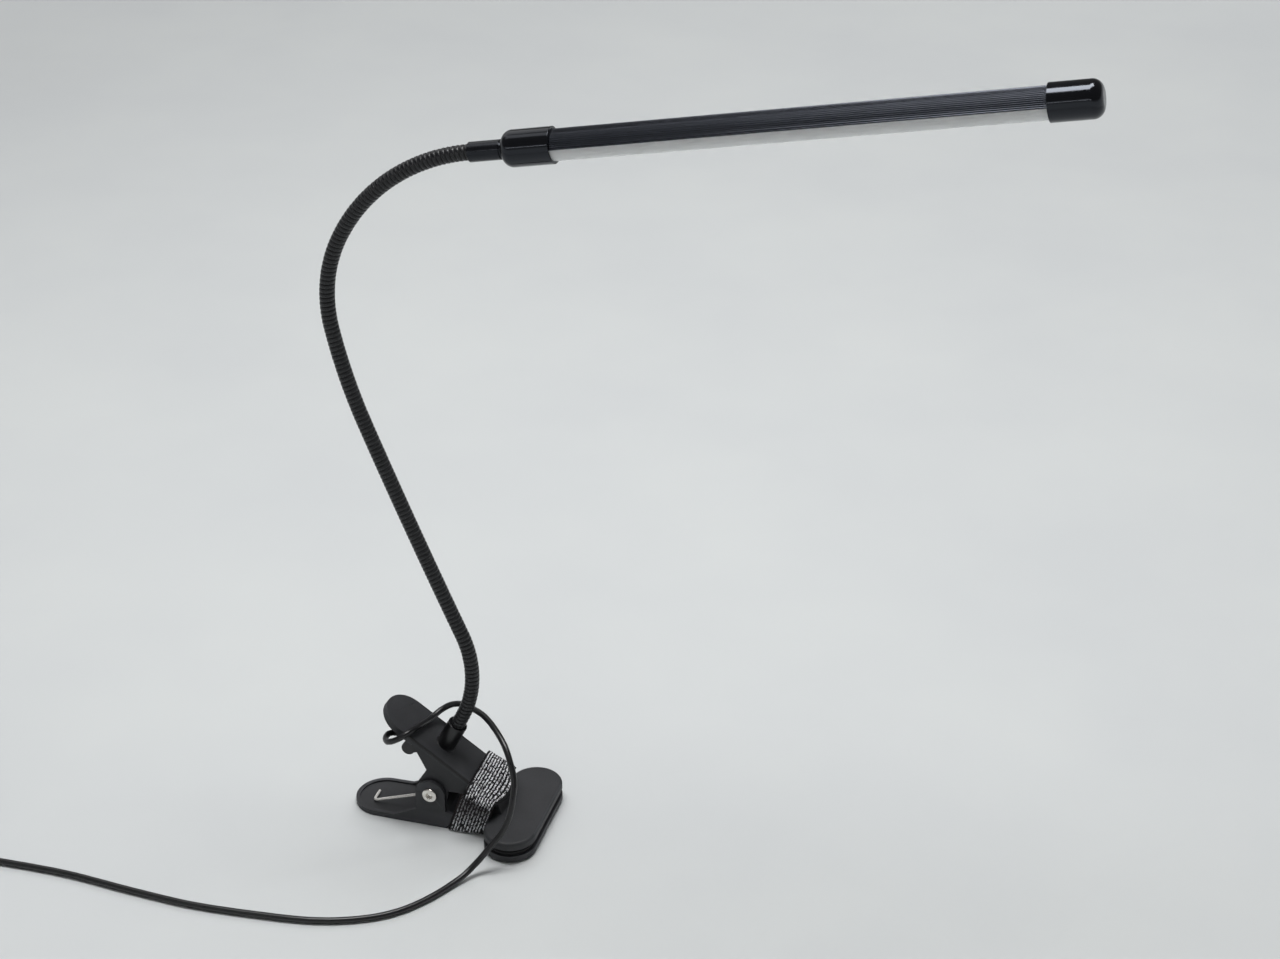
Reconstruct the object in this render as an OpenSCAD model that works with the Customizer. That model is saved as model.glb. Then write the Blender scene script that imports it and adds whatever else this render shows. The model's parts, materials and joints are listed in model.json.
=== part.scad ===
// Clip-on tube lamp: a sprung clamp of two levers holds a ribbed gooseneck with a tube light on its end.
// Millimetres, +Z up. The origin is the middle of the lower jaw's flat underside.
// +X runs from the finger tabs to the jaws and on to the light's far end. The hinge pin lies along Y.

/* [Jaws] */
// Length of each jaw, across the levers
jaw_len = 72; // [60:1:90]
// Width of each jaw, along the levers
jaw_w = 28.5; // [25:0.5:32]
// Thickness of each jaw plate
jaw_t = 4.4; // [3.6:0.1:6]
// Rounding of each jaw plate's outer edge
jaw_round = 1.8; // [0.6:0.1:2.4]
// Thickness of each rubber pad
pad_t = 1.7; // [1.2:0.1:3]
// Margin of jaw left bare round a pad
pad_margin = 1.6; // [1:0.1:3]
// Width of a groove in a pad
pad_groove = 1.2; // [0.6:0.1:2]

/* [Levers] */
// Distance from the jaws' middle back to the hinge pin
pivot_back = 47; // [44:0.5:54]
// Height of the hinge pin above the table
pivot_h = 20.2; // [19:0.1:23]
// Slope of the upper lever, in degrees below level
lever_tilt = 35.4; // [32:0.1:38]
// Height of the upper lever's top face above the pin, square to the face
lever_rise = 21.6; // [20:0.1:24]
// Outside width of the upper lever
upper_w = 27.4; // [25:0.2:31]
// Thickness of the upper lever's top wall
top_t = 2.4; // [1.8:0.1:3]
// Reach of the upper tab behind the pin, along the lever
upper_reach = 48.5; // [44:0.5:56]
// Reach of the lower tab behind the pin
lower_reach = 48; // [42:0.5:54]
// Thickness of the levers' side walls
wall_t = 2.2; // [1.6:0.1:2.8]
// Thickness of the lower lever's floor
floor_t = 2; // [1.6:0.1:2.6]
// Width of the lower tab
tab_w = 31; // [25:0.2:31.4]
// Height of the rim round the lower tab
rim_h = 2.9; // [2.5:0.1:5]
// Radius of the lower lever's ears round the pin
ear_r = 8.3; // [7.6:0.1:9.6]
// Height of the lower lever's side wall beside the ears
wall_h = 10.4; // [9:0.1:12]

/* [Hinge and spring] */
// Diameter of the hinge rivet
pin_d = 4; // [3:0.1:5]
// Diameter of the rivet's heads
head_d = 8.2; // [6.6:0.1:9]
// Thickness of a rivet head
head_t = 1.4; // [1:0.1:2]
// Wire of the torsion spring
wire_d = 1.3; // [1:0.1:1.5]
// Mean radius of the spring's coil
spring_r = 4.4; // [3.8:0.1:5]
// Whole turns in the spring's coil
spring_turns = 5; // [4:1:6]
// Length of the foot that the spring's lower leg bends into
spring_foot = 9; // [6:0.5:11]

/* [Elastic band] */
// Width of the band over the upper lever
band_w = 18; // [14:0.5:19]
// Thickness of the band
band_t = 1; // [0.8:0.1:1.2]

/* [Gooseneck] */
// Diameter over the ribs
neck_d = 7.8; // [7:0.1:8.6]
// Depth of the groove between two ribs
rib_depth = 0.5; // [0.3:0.05:0.6]
// Distance from rib to rib
rib_pitch = 2.7; // [2.4:0.05:3.5]
// Diameter of the bore
neck_bore = 4.7; // [4.2:0.1:5]
// Diameter of the boss that holds the gooseneck
boss_d = 10.6; // [10:0.1:12]
// Height of the boss over the upper lever
boss_h = 16; // [12:0.5:20]
// Length of gooseneck held inside the boss
socket_depth = 8; // [6:0.5:10]

/* [Light] */
// Diameter of the light tube
tube_d = 15; // [13:0.1:18]
// Length over both end caps
head_len = 276.75; // [220:0.25:340]
// Wall of the aluminium profile
profile_t = 1.2; // [0.9:0.1:1.6]
// Number of fine flutes along the aluminium profile
flutes = 26; // [16:2:32]
// Wall of the diffuser
diffuser_t = 1; // [0.8:0.1:1.4]
// Length of the rear end cap
cap_len = 25; // [20:0.25:30]
// Length of the front end cap
front_cap_len = 23.75; // [20:0.25:30]
// Wall of the end caps
cap_t = 1.2; // [0.9:0.1:1.6]
// Rounding of the caps' ends
cap_round = 5.2; // [3:0.1:6]
// Length of the sleeve behind the rear cap
sleeve_len = 16.75; // [10:0.25:18]
// Outside diameter of that sleeve
sleeve_d = 9.6; // [9.4:0.1:12]
// Distance from one LED to the next
led_pitch = 10; // [6:0.5:16]

/* [Cord] */
// Diameter of the cord
cord_d = 3.3; // [3:0.1:3.6]
// Turns in the stored coil
coil_turns = 6.25; // [5.25:1:7.25]

/* [Hidden] */

$fn = 64;
seat = 0.2;             // air between a piece and what holds it
run_fit = 0.05;         // radial play of a turning or a drilled fit
side_play = 0.4;        // air between the levers' side walls
skirt_step = 0.6;       // how far the upper side walls stand back under the top wall
tiny = 0.01;            // overlap of shapes that are one piece

// ---- places worked out from the sizes above ----
pivot_x = -pivot_back;
pad_gap = 0.3;
upper_jaw_z = jaw_t + 2 * pad_t + pad_gap;
jaw_top = upper_jaw_z + jaw_t;
skirt_w = upper_w - 2 * skirt_step;
lower_w = skirt_w + 2 * side_play + 2 * wall_t;
lower_tip = pivot_x - lower_reach;
jaw_back = -jaw_w / 2;
wall_rise_x = pivot_x - ear_r - 13;     // where the lower side wall starts to climb
bore_r = pin_d / 2 + run_fit;
lever_end = (jaw_back + 5.25 - pivot_x - lever_rise * sin(lever_tilt)) / cos(lever_tilt);

// Side-view point [x, z] of a place a along the upper lever and h square to it, both from the pin
function lever_pt(a, h) = [
    pivot_x + a * cos(lever_tilt) + h * sin(lever_tilt),
    pivot_h - a * sin(lever_tilt) + h * cos(lever_tilt)];

// The gooseneck's middle line lies in the plane Y = 0: pairs of length and turn in degrees
neck_path = [[5, 0], [54, 50], [125, -2], [53, -10], [51, -38], [88, -52], [sleeve_len + 0.5, 0]];
neck_lean = 8.4;        // the boss stands this much steeper than square to the lever
neck_start_angle = 90 - lever_tilt + neck_lean;
boss_a = -9.9;          // place of the boss along the upper lever
boss_foot = lever_pt(boss_a, lever_rise);
boss_top = boss_foot + boss_h * [cos(neck_start_angle), sin(neck_start_angle)];

// Place and direction [x, z, angle] after s millimetres of a piece of len that turns by turn
function neck_step(p, s, len, turn) = turn == 0
    ? [p.x + s * cos(p[2]), p.y + s * sin(p[2]), p[2]]
    : let (r = len / (turn * PI / 180), b = p[2] + turn * s / len)
        [p.x + r * (sin(b) - sin(p[2])), p.y - r * (cos(b) - cos(p[2])), b];
function neck_at(s, i = 0, p = [boss_top.x, boss_top.y, neck_start_angle]) =
    s <= neck_path[i][0] || i == len(neck_path) - 1
        ? neck_step(p, s, neck_path[i][0], neck_path[i][1])
        : neck_at(s - neck_path[i][0], i + 1,
            neck_step(p, neck_path[i][0], neck_path[i][0], neck_path[i][1]));
function total(v, i = 0) = i < len(v) ? v[i][0] + total(v, i + 1) : 0;
neck_len = total(neck_path);

// Ends of the gooseneck's sections, measured along it from the top of the boss
foot_to = 10;
base_to = 50;
low_to = 66;
side_to = 106;
mid_run_to = 170;
mid_bend_to = 210;
high_to = 276;
top_to = 324;
smooth_from = neck_len - sleeve_len + 1;
neck_into_cap = 9;
nut_t = 3;
nut_seat = -(boss_h + 4);       // lower face of the boss, inside the lever
ferrule_from = nut_seat - nut_t - 1;
ferrule_r = neck_d / 2;

// The light's own frame: x runs along the tube from the rear cap's back face
head_at = neck_at(neck_len);
cap_r = tube_d / 2 + seat / 2 + cap_t;
cap_wall = 4;
tube_from = neck_into_cap + 1;
tube_to = head_len - cap_wall - 0.5;
board_w = tube_d * 0.62;
board_t = 1.2;
board_from = tube_from + 3;
board_to = tube_to - 3;
chip_size = [3.5, 2.8, 0.8];

// ---- shapes used more than once ----

// A side-view outline [x, z] made y0 to y1 wide
module slice(y0, y1) {
    translate([0, y1, 0]) rotate([90, 0, 0]) linear_extrude(height = y1 - y0) children();
}
module both_sides() {
    children();
    mirror([0, 1, 0]) children();
}
module both_heads(z) {
    translate([0, 0, z]) children();
    mirror([0, 0, 1]) translate([0, 0, z]) children();
}
module on_lever() {
    translate([pivot_x, 0, pivot_h]) rotate([0, lever_tilt, 0]) children();
}
// Stands children on the gooseneck's line at s, with +Z along the line
module on_neck(s) {
    p = neck_at(s);
    translate([p.x, 0, p.y]) rotate([0, 90 - p[2], 0]) children();
}
module on_head() {
    translate([head_at.x, 0, head_at.y]) rotate([0, -head_at[2], 0]) children();
}
// A solid turned about the light's own x axis, from a profile [radius, x]
module turned_on_head() {
    on_head() rotate([0, 90, 0]) rotate_extrude() children();
}
// Outline of a lever seen square to its face: a round tab at tip, then straight to the end
module lever_plan(tip, end, w) {
    translate([tip + w / 2, 0]) circle(d = w);
    translate([tip + w / 2, -w / 2]) square([end - tip - w / 2, w]);
}
// Half of a plate's cross-section with its upper outer edge rounded
module plate_section(half, t, r) {
    square([half - r, t]);
    square([half, t - r]);
    translate([half - r, t - r]) circle(r);
}
// A plate with round ends, long in Y, standing on z = 0
module round_plate(length, w, t, r) {
    straight = length - w;
    for (side = [-1, 1]) translate([0, side * straight / 2, 0]) rotate_extrude() plate_section(w / 2, t, r);
    slice(-straight / 2, straight / 2) {
        plate_section(w / 2, t, r);
        mirror([1, 0]) plate_section(w / 2, t, r);
    }
}

// ---- swept tubes ----
function unit(v) = v / norm(v);
function mix(a, b, f) = a + (b - a) * f;
function tangents(p) = [for (i = [0:len(p) - 1])
    unit(p[min(i + 1, len(p) - 1)] - p[max(i - 1, 0)])];
// Normals carried along the tangents without twist
function carried(t, n0) = [for (i = 0, n = unit(n0 - (n0 * t[0]) * t[0]); i < len(t);
    i = i + 1, n = i < len(t) ? unit(n - (n * t[i]) * t[i]) : n) n];
function ring(p, t, n, r, sides) = [for (k = [0:sides - 1])
    p + r * (cos(360 * k / sides) * n + sin(360 * k / sides) * cross(t, n))];
function skin_faces(rings, sides, first = 0, flip = false) = [
    for (i = [0:rings - 2], k = [0:sides - 1])
        let (a = first + i * sides + k, b = first + i * sides + (k + 1) % sides, c = a + sides, d = b + sides)
            each flip ? [[a, b, c], [b, d, c]] : [[a, c, b], [b, c, d]]];
function end_fan(start, sides, flip) = [for (k = [1:sides - 2])
    flip ? [start, start + k + 1, start + k] : [start, start + k, start + k + 1]];
// A closed solid tube along points p, with n0 across its first length
module swept(p, r, sides, n0) {
    t = tangents(p);
    n = carried(t, n0);
    polyhedron(
        points = [for (i = [0:len(p) - 1]) each ring(p[i], t[i], n[i], r, sides)],
        faces = concat(skin_faces(len(p), sides), end_fan(0, sides, false),
            end_fan((len(p) - 1) * sides, sides, true)));
}
// Smooth points through the chosen ones, about pitch apart
function through(p, pitch) = [
    for (i = [0:len(p) - 2])
        let (steps = max(1, round(norm(p[i + 1] - p[i]) / pitch)))
            for (k = [0:steps - 1])
                let (f = k / steps, a = p[max(i - 1, 0)], b = p[i], c = p[i + 1], d = p[min(i + 2, len(p) - 1)])
            0.5 * (2 * b + (c - a) * f + (2 * a - 5 * b + 4 * c - d) * f * f
                + (3 * b - a - 3 * c + d) * f * f * f),
    p[len(p) - 1]];
// Least air between turns of a tube of diameter d: points at least skip apart along the list
function least_gap(p, skip, d) = min([for (i = [0:len(p) - 1 - skip], j = [i + skip:len(p) - 1])
    norm(p[i] - p[j])]) - d;

// ---- clamp ----
module lower_side_outline() {
    polygon([[wall_rise_x, 0], [wall_rise_x, rim_h], [pivot_x - ear_r, wall_h - 1],
        [pivot_x - ear_r, pivot_h], [pivot_x + ear_r, pivot_h], [pivot_x + ear_r, wall_h],
        [jaw_back + pad_margin, jaw_t], [jaw_back + pad_margin, 0]]);
    translate([pivot_x, pivot_h]) circle(ear_r);
}
// Outline seen from above, inset by inset: the tab flares out to the ears' width
flare_from = wall_rise_x - 7;
module lower_plan(inset, end) {
    lever_plan(lower_tip + inset, end, tab_w - 2 * inset);
    polygon([[flare_from, -tab_w / 2 + inset], [wall_rise_x, -lower_w / 2 + inset], [end, -lower_w / 2 + inset],
        [end, lower_w / 2 - inset], [wall_rise_x, lower_w / 2 - inset], [flare_from, tab_w / 2 - inset]]);
}
module lower_lever() color([0.12, 0.12, 0.13]) {
    pocket_w = lower_w - 2 * wall_t;
    web_from = pivot_x + ear_r - 2;
    difference() {
        union() {
            linear_extrude(height = rim_h) lower_plan(0, pivot_x);
            both_sides() slice(pocket_w / 2, lower_w / 2) lower_side_outline();
            translate([pivot_x - tiny, -lower_w / 2, 0]) cube([-pivot_x + jaw_back + 2, lower_w, floor_t]);
            translate([web_from, -lower_w / 2, 0]) cube([jaw_back + 2 - web_from, lower_w, jaw_t]);
            translate([0, 0, jaw_t]) mirror([0, 0, 1]) round_plate(jaw_len, jaw_w, jaw_t, jaw_round);
        }
        translate([0, 0, floor_t]) linear_extrude(height = rim_h) lower_plan(wall_t, web_from);
        translate([band_low_x0 - 1.2, -lower_w, -1])
            cube([band_low_x1 - band_low_x0 + 2.4, 2 * lower_w, 1 + 2 * seat + band_t]);
        translate([pivot_x, 0, pivot_h]) rotate([90, 0, 0]) cylinder(r = bore_r, h = 2 * lower_w, center = true);
    }
}
module jaw_pad_shape() {
    long = jaw_len - 2 * pad_margin;
    wide = jaw_w - 2 * pad_margin;
    groove_step = 3 * pad_groove;
    groove_count = floor((long - wide) / groove_step / 2);
    difference() {
        round_plate(long, wide, pad_t, 0.5);
        for (i = [-groove_count:groove_count - 1])
            translate([-wide, (i + 0.5) * groove_step - pad_groove / 2, pad_t - 0.5])
                cube([2 * wide, pad_groove, 1]);
    }
}
module lower_jaw_pad() color([0.09, 0.09, 0.09]) translate([0, 0, jaw_t]) jaw_pad_shape();
module upper_jaw_pad() color([0.09, 0.09, 0.09])
    translate([0, 0, upper_jaw_z]) mirror([0, 0, 1]) jaw_pad_shape();

// Side wall of the upper lever in its own a, h plane: cord lug, slanted edge, round ear, taper to the jaw
lug_r = 3.7;
lug_a = -24.8;
lug_h = lever_rise - 7.7;
upper_ear_r = 9.2;
skirt_knee = [14.2, lever_rise - 8.7];
module upper_side_outline() {
    polygon([[lug_a - lug_r, lever_rise - 1], [lug_a - lug_r, lug_h], [lug_a + lug_r, lug_h],
        [lug_a + lug_r + 0.9, lever_rise - 6.1], [-upper_ear_r - 0.6, lever_rise - 11.8], [-upper_ear_r, 0],
        [upper_ear_r * cos(48), upper_ear_r * sin(48)], skirt_knee,
        [lever_end - 1, lever_rise - 5.4], [lever_end - 1, lever_rise - 1]]);
    translate([lug_a, lug_h]) circle(lug_r);
    circle(upper_ear_r);
}
module upper_lever() color([0.12, 0.12, 0.13]) {
    difference() {
        union() {
            on_lever() {
                translate([0, 0, lever_rise - top_t]) linear_extrude(height = top_t)
                    lever_plan(-upper_reach, lever_end, upper_w);
                both_sides() slice(skirt_w / 2 - wall_t, skirt_w / 2) upper_side_outline();
                // rim under the tab
                translate([0, 0, lever_rise - top_t - 1.6]) linear_extrude(height = 1.8) difference() {
                    lever_plan(-upper_reach, lug_a, upper_w);
                    lever_plan(-upper_reach + 2, 0, upper_w - 4);
                }
            }
            // the lever bends down into the jaw plate
            slice(-skirt_w / 2 + wall_t / 2, skirt_w / 2 - wall_t / 2) polygon([
                lever_pt(lever_end - 7, lever_rise - top_t / 2), lever_pt(lever_end - 0.6, lever_rise - top_t / 2),
                [jaw_back + 6.2, jaw_top - 0.4], [jaw_back + 5, upper_jaw_z + 0.4],
                [jaw_back + 1, upper_jaw_z + 0.4], [jaw_back - 2.2, jaw_top - 1],
                lever_pt(lever_end - 9, lever_rise - 5.4)]);
            translate([0, 0, upper_jaw_z]) round_plate(jaw_len, jaw_w, jaw_t, jaw_round);
            on_neck(nut_seat) cylinder(d = boss_d, h = -nut_seat);
        }
        on_neck(nut_seat - 1) cylinder(r = neck_d / 2 + seat, h = -nut_seat + 2);
        translate([pivot_x, 0, pivot_h]) rotate([90, 0, 0]) cylinder(r = bore_r, h = 2 * upper_w, center = true);
    }
}
// Tubular rivet: a shank with two rounded heads and a dimple in each
module hinge_rivet() color([0.75, 0.74, 0.7]) {
    face = lower_w / 2;
    translate([pivot_x, 0, pivot_h]) rotate([90, 0, 0]) difference() {
        union() {
            cylinder(d = pin_d, h = 2 * face, center = true);
            both_heads(face) rotate_extrude() plate_section(head_d / 2, head_t, 0.6);
        }
        both_heads(face + head_t - 0.9) cylinder(d = pin_d * 0.9, h = 2);
    }
}
// Torsion spring: a bent foot and leg on the lower tab's floor, the coil on the rivet, a leg under the upper tab
spring_pitch = wire_d + 0.6;
spring_y = -(spring_turns + 0.3) * spring_pitch / 2 - 1.4;
spring_low = [lower_tip + 11.7, floor_t + wire_d / 2 + 0.1];
spring_high = lever_pt(lug_a - 1, lever_rise - top_t - wire_d / 2 - 0.15);
function side_angle(p) = atan2(p.y - pivot_h, p.x - pivot_x);
function side_reach(p) = norm([p.x - pivot_x, p.y - pivot_h]);
// The wire touches the coil where a line from the leg's end is square to the radius
low_angle = side_angle(spring_low) + 360 + acos(spring_r / side_reach(spring_low));
high_angle = side_angle(spring_high) - acos(spring_r / side_reach(spring_high));
coil_sweep = (high_angle - low_angle + 720) % 360 + 360 * spring_turns;
function spring_coil_points() = [
    let (n = ceil(coil_sweep / 45)) for (i = [0:n])
        let (g = low_angle + coil_sweep * i / n)
            [pivot_x + spring_r * cos(g), spring_y + spring_pitch * coil_sweep * i / n / 360,
                pivot_h + spring_r * sin(g)]];
function spring_points() = let (coil = spring_coil_points(), e = [spring_low.x, spring_y, spring_low.y],
    u = unit(coil[0] - e), h = [spring_high.x, coil[len(coil) - 1].y, spring_high.y])
    concat([e + [0, spring_foot, 0], e + [0, 2.4, 0], e + 0.7 * u + [0, 0.7, 0], e + 2.4 * u,
        mix(e, coil[0], 0.5)], coil, [mix(coil[len(coil) - 1], h, 0.5), h]);
module torsion_spring() color([0.75, 0.73, 0.68]) swept(spring_points(), wire_d / 2, 6, [1, 0, 0]);

// Elastic band: a flat loop over both levers, drawn in where they part
band_top_a1 = lever_end - 1.9;
band_top_a0 = band_top_a1 - band_w;
band_low_x0 = pivot_x + ear_r + 1.9;
band_low_x1 = jaw_back - 2.2;
band_air = 0.3;
// Side-view place on the band's left (0) or right (1) edge, f from the table up to the top, t out from its inner face
function band_edge(right, f, t) = let (
    high = lever_pt(right ? band_top_a1 : band_top_a0, lever_rise + band_air + t))
        [mix(right ? band_low_x1 : band_low_x0, high.x, f * f), mix(seat + band_t - t, high.y, f)];
band_high_y = upper_w / 2 + band_air;
band_low_y = lower_w / 2 + band_air;
// Half of the loop as [y, f] pairs, from the middle of the top to the middle of the bottom
band_half = [[0, 1], [band_high_y, 1], [band_high_y, 0.62], [band_low_y, 0.44], [band_low_y, 0], [0, 0]];
band_loop = concat(band_half, [for (i = [len(band_half) - 2:-1:1]) [-band_half[i].x, band_half[i].y]]);
function band_point(s, right, t) = let (e = band_edge(right, s.y, t)) [e.x, s.x + sign(s.x) * t, e.y];
module elastic_band() color([0.35, 0.35, 0.37]) {
    n = len(band_loop);
    polyhedron(
        points = [for (s = band_loop) each [band_point(s, false, 0), band_point(s, true, 0),
            band_point(s, true, band_t), band_point(s, false, band_t)]],
        faces = [for (i = [0:n - 1], k = [0:3])
            let (j = (i + 1) % n, a = 4 * i + k, b = 4 * i + (k + 1) % 4, c = 4 * j + k, d = 4 * j + (k + 1) % 4)
                each [[a, c, b], [b, c, d]]]);
}

// ---- gooseneck ----
function neck_ring(s, r) = let (p = neck_at(s)) [for (k = [0:7])
    [p.x, 0, p.y] + r * (cos(45 * k + 22.5) * [-sin(p[2]), 0, cos(p[2])] + sin(45 * k + 22.5) * [0, -1, 0])];
// A ribbed hose from s0 to s1: every rib is a groove ring and a crest ring, and the bore follows it
module hose(s0, s1, smooth_to = 0) color([0.1, 0.1, 0.1]) {
    ribs_to = smooth_to > 0 ? smooth_from : s1;
    ribs = round((ribs_to - s0) / rib_pitch);
    pitch = (ribs_to - s0) / ribs;
    outer = concat([for (i = [0:ribs - 1]) each [[s0 + i * pitch, neck_d / 2 - rib_depth],
        [s0 + (i + 0.5) * pitch, neck_d / 2]]], [[ribs_to, neck_d / 2 - rib_depth]],
        smooth_to > 0 ? [[smooth_to, neck_d / 2 - rib_depth]] : []);
    steps = max(1, round((s1 - s0) / 8));
    inner = [for (i = [0:steps]) s0 + (s1 - s0) * i / steps];
    n = len(outer);
    m = len(inner);
    last_out = (n - 1) * 8;
    first_in = n * 8;
    last_in = first_in + (m - 1) * 8;
    polyhedron(
        points = concat([for (o = outer) each neck_ring(o[0], o[1])],
            [for (s = inner) each neck_ring(s, neck_bore / 2)]),
        faces = concat(skin_faces(n, 8), skin_faces(m, 8, first_in, true),
            [for (k = [0:7]) let (j = (k + 1) % 8) each [[k, j, first_in + k], [j, first_in + j, first_in + k]]],
            [for (k = [0:7]) let (j = (k + 1) % 8) each [
                [last_out + k, last_in + k, last_out + j], [last_out + j, last_in + k, last_in + j]]]));
}
module neck_foot() hose(-socket_depth, foot_to);
module neck_bend_base() hose(foot_to, base_to);
module neck_run_low() hose(base_to, low_to);
module neck_bend_side() hose(low_to, side_to);
module neck_run_mid() hose(side_to, mid_run_to);
module neck_bend_mid() hose(mid_run_to, mid_bend_to);
module neck_run_high() hose(mid_bend_to, high_to);
module neck_bend_top() hose(high_to, top_to);
module neck_end() hose(top_to, neck_len + neck_into_cap, neck_len + neck_into_cap);

// Steel ferrule: a spigot in the hose's end and a shank that the nut pulls down
module neck_ferrule() color([0.7, 0.7, 0.7]) on_neck(ferrule_from) difference() {
    union() {
        cylinder(r = ferrule_r, h = -ferrule_from - socket_depth);
        cylinder(d = neck_bore * 0.9, h = -ferrule_from - socket_depth + 5);
    }
    translate([0, 0, -1]) cylinder(d = cord_d + 0.2, h = -ferrule_from + 2);
}
module ferrule_nut() color([0.7, 0.7, 0.7]) on_neck(nut_seat - nut_t) difference() {
    cylinder(r = ferrule_r + 2.6, h = nut_t, $fn = 6);
    translate([0, 0, -1]) cylinder(r = ferrule_r + run_fit, h = nut_t + 2);
}
// Moulded elbow that turns the cord under the tab: a ball on the ferrule and a nozzle out of its side
elbow_r = neck_d / 2 - 0.5;
elbow_reach = 5.5;
elbow_turn = lever_tilt - 10;   // the nozzle points this much above -X
elbow_drop = cord_d / 2 + 0.8;
elbow_at = neck_at(ferrule_from - elbow_drop);
nozzle_end = [elbow_at.x - elbow_reach * cos(elbow_turn), 0, elbow_at.y + elbow_reach * sin(elbow_turn)];
// Profile [radius, height] of the ball and the short neck that stands on the ferrule
module elbow_section() intersection() {
    union() {
        circle(elbow_r);
        square([elbow_r, elbow_drop]);
    }
    translate([0, -elbow_r]) square([elbow_r, elbow_r + elbow_drop]);
}
module cord_gland() color([0.08, 0.08, 0.08]) {
    on_neck(ferrule_from - elbow_drop) rotate_extrude() elbow_section();
    translate([elbow_at.x, 0, elbow_at.y]) rotate([0, elbow_turn - 90, 0])
        cylinder(r = cord_d / 2 + 0.7, h = elbow_reach);
}

// ---- light ----
module head_sleeve() color([0.07, 0.07, 0.08]) on_neck(neck_len - sleeve_len) difference() {
    union() {
        cylinder(d = sleeve_d, h = sleeve_len - 1);
        cylinder(d = sleeve_d - 1.2, h = sleeve_len);
    }
    translate([0, 0, -1]) cylinder(r = neck_d / 2 + run_fit, h = sleeve_len + 2);
}
// Profile [radius, x] of a cap with a rounded closed end at x = 0
module cap_section(hole_r, len) difference() {
    union() {
        square([cap_r - cap_round, len]);
        translate([0, cap_round]) square([cap_r, len - cap_round]);
        translate([cap_r - cap_round, cap_round]) circle(cap_round);
    }
    translate([-tiny, cap_wall]) square([tube_d / 2 + seat / 2 + tiny, len]);
    translate([-cap_r, -1]) square([cap_r + hole_r, len]);
    translate([-2 * cap_r, -1]) square([2 * cap_r, 2 * len]);
}
module rear_cap() color([0.05, 0.05, 0.06]) turned_on_head() cap_section(neck_d / 2 + run_fit, cap_len);
module front_cap() color([0.05, 0.05, 0.06]) on_head() translate([head_len, 0, 0])
    rotate([0, -90, 0]) rotate_extrude() cap_section(0, front_cap_len);
module head_nut() color([0.7, 0.7, 0.7]) on_head() translate([cap_wall, 0, 0]) rotate([0, 90, 0]) difference() {
    cylinder(r = neck_d / 2 + 2.4, h = nut_t, $fn = 6);
    translate([0, 0, -1]) cylinder(r = neck_d / 2 + run_fit, h = nut_t + 2);
}
// Extruded aluminium: a fluted half round closed by a web that carries the board
module profile_section() difference() {
    intersection() {
        circle(d = tube_d);
        translate([-tube_d, 0]) square([2 * tube_d, tube_d]);
    }
    intersection() {
        circle(r = tube_d / 2 - profile_t);
        translate([-tube_d, profile_t]) square([2 * tube_d, tube_d]);
    }
    for (i = [1:flutes - 1]) rotate(180 * i / flutes) translate([tube_d / 2, 0]) rotate(45)
        square(0.5, center = true);
}
module along_tube(x0, x1) {
    on_head() translate([x0, 0, 0]) rotate([90, 0, 90]) linear_extrude(height = x1 - x0) children();
}
module tube_profile() color([0.1, 0.1, 0.11]) along_tube(tube_from, tube_to) profile_section();
module diffuser() color([0.86, 0.87, 0.87]) along_tube(tube_from, tube_to) difference() {
    circle(d = tube_d);
    circle(r = tube_d / 2 - diffuser_t);
    translate([-tube_d, 0]) square([2 * tube_d, tube_d]);
}
module led_board() color([0.9, 0.9, 0.88]) on_head()
    translate([board_from, -board_w / 2, -board_t]) cube([board_to - board_from, board_w, board_t]);
module led_chips() color([0.9, 0.8, 0.35]) on_head() {
    end_space = 12;
    count = floor((board_to - board_from - 2 * end_space) / led_pitch);
    for (i = [0:count]) translate([board_from + end_space + i * led_pitch - chip_size.x / 2, -chip_size.y / 2,
        -board_t - chip_size.z]) cube(chip_size);
}
module board_resistors() color([0.1, 0.1, 0.1]) on_head()
    for (y = [-2.8, 0, 2.8]) translate([board_from + 4, y - 0.8, -board_t - 0.6]) cube([3.2, 1.6, 0.6]);
// Two leads from the gooseneck's bore to the board's pads
module board_leads() color([0.6, 0.1, 0.1]) on_head() both_sides()
    swept(through([[1, 0.9, 0], [neck_into_cap - 1, 0.9, -0.4], [neck_into_cap + 2, 1.4, -1.6],
        [board_from - 1, 1.8, -board_t - 0.7], [board_from + 2.6, 1.9, -board_t - 0.7]], 2), 0.5, 6, [0, 0, 1]);

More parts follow.
